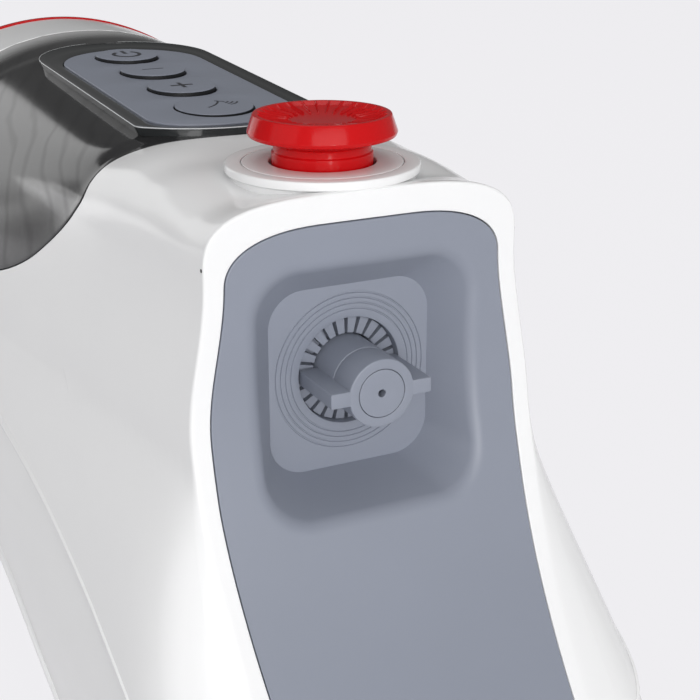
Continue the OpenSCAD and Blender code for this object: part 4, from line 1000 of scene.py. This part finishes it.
def makeDome(s):
    # turned plate with a parabolic dome, and two round ended lugs as prisms along x
    y, r = s["tailY"], s["domeR"]
    q = np.linspace(r - 0.8, 0, 40)
    arcPart = np.column_stack([q, y + 3 + s["domeH"] * (1 - (q / r) ** 2)])
    profile = np.concatenate([[[0, y + 0.1]], rounded([(0, y + 0.1, 0), (r, y + 0.1, 0.3), (r, y + 3.0, 0.8),
                                                       tuple(arcPart[0]) + (0,)], 6)[1:-1], arcPart])
    parts = [lathe(profile, "y", (0, 0, s["drumZ"]), 192)]
    a = np.linspace(-halfTurn / 2, halfTurn / 2, 24)
    lug = np.concatenate([np.column_stack([s["hingeY"] + 7 * np.cos(a), s["hingeZ"] + 7 * np.sin(a)]),
                          [[y + 4, s["hingeZ"] + 9], [y + 4, s["hingeZ"] - 9]]])
    inner = s["span"] / 2 + s["armW"] + 0.4
    parts.append(prism(lug, inner, inner + s["lugW"], 0.8, "x"))
    parts.append(prism(lug, -inner - s["lugW"], -inner, 0.8, "x"))
    return parts


def makeHandle(s):
    # tube swept round a U, oval on the arms and round with shallow finger rings on the grip
    x, r = s["span"] / 2 + s["armW"] / 2, 9.0
    path = rounded([(-x, 0, 0), (-x, -s["drop"], r), (x, -s["drop"], r), (x, 0, 0)], 14)
    run = np.concatenate([[0], np.cumsum(np.linalg.norm(np.diff(path, axis=0), axis=1))])
    at = np.linspace(0, run[-1], 260)
    path = np.column_stack([np.interp(at, run, path[:, 0]), np.interp(at, run, path[:, 1])])
    along = unit(np.gradient(path, axis=0))
    side = np.column_stack([-along[:, 1], along[:, 0]])
    grip = ease((x - 6 - np.abs(path[:, 0])) / 8) * (path[:, 1] < -s["drop"] + 1)
    ring = 0.35 * np.maximum(0, np.cos(path[:, 0] / 7.0 * 2 * halfTurn)) ** 4 * grip
    a = np.linspace(0, 2 * halfTurn, 40, endpoint=False)
    power = 0.62 + 0.38 * grip[:, None]
    c = np.sign(np.cos(a)) * np.abs(np.cos(a)) ** power * (3.9 + (s["gripR"] - 3.9 - 0.1) * grip - ring)[:, None]
    d = np.sign(np.sin(a)) * np.abs(np.sin(a)) ** power * (4.9 + (s["gripR"] - 4.9 - 0.1) * grip - ring)[:, None]
    grid = np.stack([path[:, :1] + side[:, :1] * c, s["hingeY"] + d, s["hingeZ"] + path[:, 1:] + side[:, 1:] * c], -1)
    parts = [sheet(grid, closed=True)]
    for m in (-1, 1):
        lo, hi = sorted((m * s["span"] / 2, m * (s["span"] / 2 + s["armW"])))
        eye = rounded([(4.1, lo, 0), (7.0, lo, 0.8), (7.0, hi, 0.8), (4.1, hi, 0.3), (4.1, lo, 0)], 5)
        parts.append(lathe(eye, "x", (0, s["hingeY"], s["hingeZ"]), 64,
                           inside=((lo + hi) / 2, s["hingeY"] + 5.5, s["hingeZ"])))
    return parts


def makeGland(s):
    # turned sleeve with a flange and four ribs that taper
    y = s["tailY"]
    ribs = []
    for k in range(4):
        ribs += [(7.6 - 0.3 * k, y + 11.4 + 0.95 * k, 0.1), (6.7 - 0.3 * k, y + 11.6 + 0.95 * k, 0.1),
                 (6.7 - 0.3 * k, y + 12.0 + 0.95 * k, 0.1)]
    profile = rounded([(3.5, y - 5, 0), (8, y - 5, 0.3), (8, y + 8, 0.1), (11, y + 8.05, 0.5), (11, y + 10.5, 0.8),
                       (7.8, y + 10.6, 0.2), *ribs,
                       (5.6, y + 15, 0.4), (3.5, y + 15, 0.3), (3.5, y - 5, 0)], 4)
    return [lathe(profile, "y", (0, 0, s["drumZ"] - s["glandDrop"]), 96,
                  inside=(0, y + 5, s["drumZ"] - s["glandDrop"] + 5.5))]


def makeScrews(s):
    # domed head with a hexagonal socket
    y = s["tailY"]
    a = np.linspace(0, 2 * halfTurn, 48, endpoint=False)
    hexR = 1.5 * math.cos(halfTurn / 6) / np.cos((a % (halfTurn / 3)) - halfTurn / 6)
    radii = np.stack([0 * a, hexR, hexR, hexR + 0.1, 3.1 + 0 * a, 3.5 + 0 * a, 3.6 + 0 * a, 3.6 + 0 * a, 1.9 + 0 * a,
                      1.9 + 0 * a, 0 * a])
    level = np.array([2.6, 2.6, 3.7, 3.85, 3.85, 3.6, 3.2, 2.1, 2.1, -8, -8])[:, None] + y
    parts = []
    for k in range(4):
        turn = halfTurn / 4 + k * halfTurn / 2
        place = np.array([s["screwAt"] * s["domeR"] * math.sin(turn), 0,
                          s["drumZ"] + s["screwAt"] * s["domeR"] * math.cos(turn)])
        parts.append(sheet(np.stack([radii * np.cos(a), level + 0 * a, radii * np.sin(a)], -1) + place, closed=True))
    return parts


def makeFeet(s):
    # four turned pads
    profile = rounded([(0, -190, 0), (8.4, -190, 0.6), (9.2, -188.6, 0.6), (10, -187.4, 0.5), (10, -184.1, 0.2),
                       (0, -184.1, 0)], 5)
    ring = [lathe(profile, "z", (m * x, y, 0), 72) for m in (-1, 1) for x, y in ((32, -70), (40, 220))]
    return ring


addPiece("redRing", makeRing(rear), redAbs, stands=["red_ring"])
addPiece("rearDome", makeDome(rear), whiteAbs, stands=["rear_dome"])
addPiece("carryHandle", makeHandle(rear), greyAbs, body="handle", stands=["carry_handle"], sharp=60)
addPiece("cordGland", makeGland(rear), rubber, stands=["cord_gland"])
addPiece("rearScrews", makeScrews(rear), plated, stands=["rear_screws"])
addPiece("rubberFeet", makeFeet(rear), rubber, stands=["rubber_feet"])
print("rear and feet")


# what stays as it was built gets its finish here
finishes = {"white_gloss": whiteAbs, "grey_satin": greyAbs, "red_gloss": redAbs, "smoked_clear": smokedPc,
            "black_gloss": blackGloss,
            "black_rubber": rubber, "tank_clear": tankPp, "dark_plastic": darkPa, "pale_plastic": palePa,
            "circuit_board": boardFr,
            "cast_alloy": castAl, "steel": plated, "brass": brass}
for part in frame["record"]["subparts"]:
    data = nodes[part["node"]].data
    data.materials.clear()
    data.materials.append(finishes[part["material_slot"]])
print("finishes set")


# studio: pale floor and background, broad soft lights
studio = dict(background="#F2F1F4", ambient=(0.12, 0.6), floor="#D8D8DA", glow=0.94, floorSize=12.0,
              lamps=[("front", (-0.35, -1.5, 0.55), (1.4, 1.0), 12.9), ("left", (-1.4, -0.1, 0.7), (1.2, 0.9), 2.4),
                     ("top", (0.1, 0.3, 1.6), (1.0, 1.2), 4.5), ("panel", (-0.49, 1.5, 0.48), (0.71, 1.1), 3.2),
                     ("low", (-0.87, 1.5, 0.11), (0.12, 0.2), 0.1), ("strip", (-0.1, -0.87, 0.21), (0.06, 0.44), 1.0)])


def makeStudio(s):
    # the camera sees a pale world and floor, everything else plain light; each lamp faces the object
    scene = bpy.context.scene
    scene.view_settings.view_transform = "Standard"
    world = bpy.data.worlds.new("studio")
    scene.world = world
    world.use_nodes = True
    tree = world.node_tree
    tree.nodes.clear()
    path = addNode(tree, "ShaderNodeLightPath")
    # the room is darker behind the object than in front of it
    way = addNode(tree, "ShaderNodeSeparateXYZ", {"Vector": addNode(tree, "ShaderNodeTexCoord").outputs["Generated"]})
    level = addNode(tree, "ShaderNodeMapRange", {"Value": way.outputs["Y"], "From Min": 1.0, "From Max": -1.0,
                                                 "To Min": s["ambient"][0], "To Max": s["ambient"][1]})
    soft = addNode(tree, "ShaderNodeBackground", {"Color": (1, 1, 1, 1), "Strength": level.outputs["Result"]})
    seen = addNode(tree, "ShaderNodeBackground", {"Color": fromHex(s["background"]), "Strength": 1.0})
    clear = addNode(tree, "ShaderNodeMath", {0: path.outputs["Is Camera Ray"],
                                             1: path.outputs["Is Transmission Ray"]}, operation="MAXIMUM")
    mix = addNode(tree, "ShaderNodeMixShader", {0: clear.outputs[0], 1: soft.outputs[0], 2: seen.outputs[0]})
    addNode(tree, "ShaderNodeOutputWorld", {"Surface": mix.outputs[0]})
    size = s["floorSize"]
    mesh = bpy.data.meshes.new("floor")
    mesh.from_pydata([(-size, -size, 0), (size, -size, 0), (size, size, 0), (-size, size, 0)], [], [(0, 1, 2, 3)])
    floor = bpy.data.objects.new("floor", mesh)
    scene.collection.objects.link(floor)
    mat = bpy.data.materials.new("paleStudioFloor")
    mat.use_nodes = True
    tree = mat.node_tree
    tree.nodes.clear()
    path = addNode(tree, "ShaderNodeLightPath")
    matt = addNode(tree, "ShaderNodeBsdfDiffuse", {"Color": fromHex(s["floor"])})
    glow = addNode(tree, "ShaderNodeEmission", {"Color": fromHex(s["background"]), "Strength": 1.0})
    mix = addNode(tree, "ShaderNodeMixShader", {0: s["glow"], 1: matt.outputs[0], 2: glow.outputs[0]})
    clear = addNode(tree, "ShaderNodeMath", {0: path.outputs["Is Camera Ray"],
                                             1: path.outputs["Is Transmission Ray"]}, operation="MAXIMUM")
    clear = addNode(tree, "ShaderNodeMath", {0: clear.outputs[0], 1: path.outputs["Is Glossy Ray"]},
                    operation="MAXIMUM")
    pick = addNode(tree, "ShaderNodeMixShader", {0: clear.outputs[0], 1: matt.outputs[0], 2: mix.outputs[0]})
    addNode(tree, "ShaderNodeOutputMaterial", {"Surface": pick.outputs[0]})
    mesh.materials.append(mat)
    for name, place, (wide, tall), power in s["lamps"]:
        data = bpy.data.lights.new(name, "AREA")
        data.shape = "RECTANGLE"
        data.size, data.size_y = wide, tall
        data.energy = power
        lamp = bpy.data.objects.new(name, data)
        lamp.location = place
        back = unit(np.array(place) - np.array([0, 0, 0.1]))
        side = unit(np.cross([0, 0, 1], back))
        up = np.cross(back, side)
        aim = Matrix([[side[k], up[k], back[k]] for k in range(3)])
        lamp.matrix_world = Matrix.Translation(place) @ aim.to_4x4()
        scene.collection.objects.link(lamp)


makeStudio(studio)
print("studio lit")
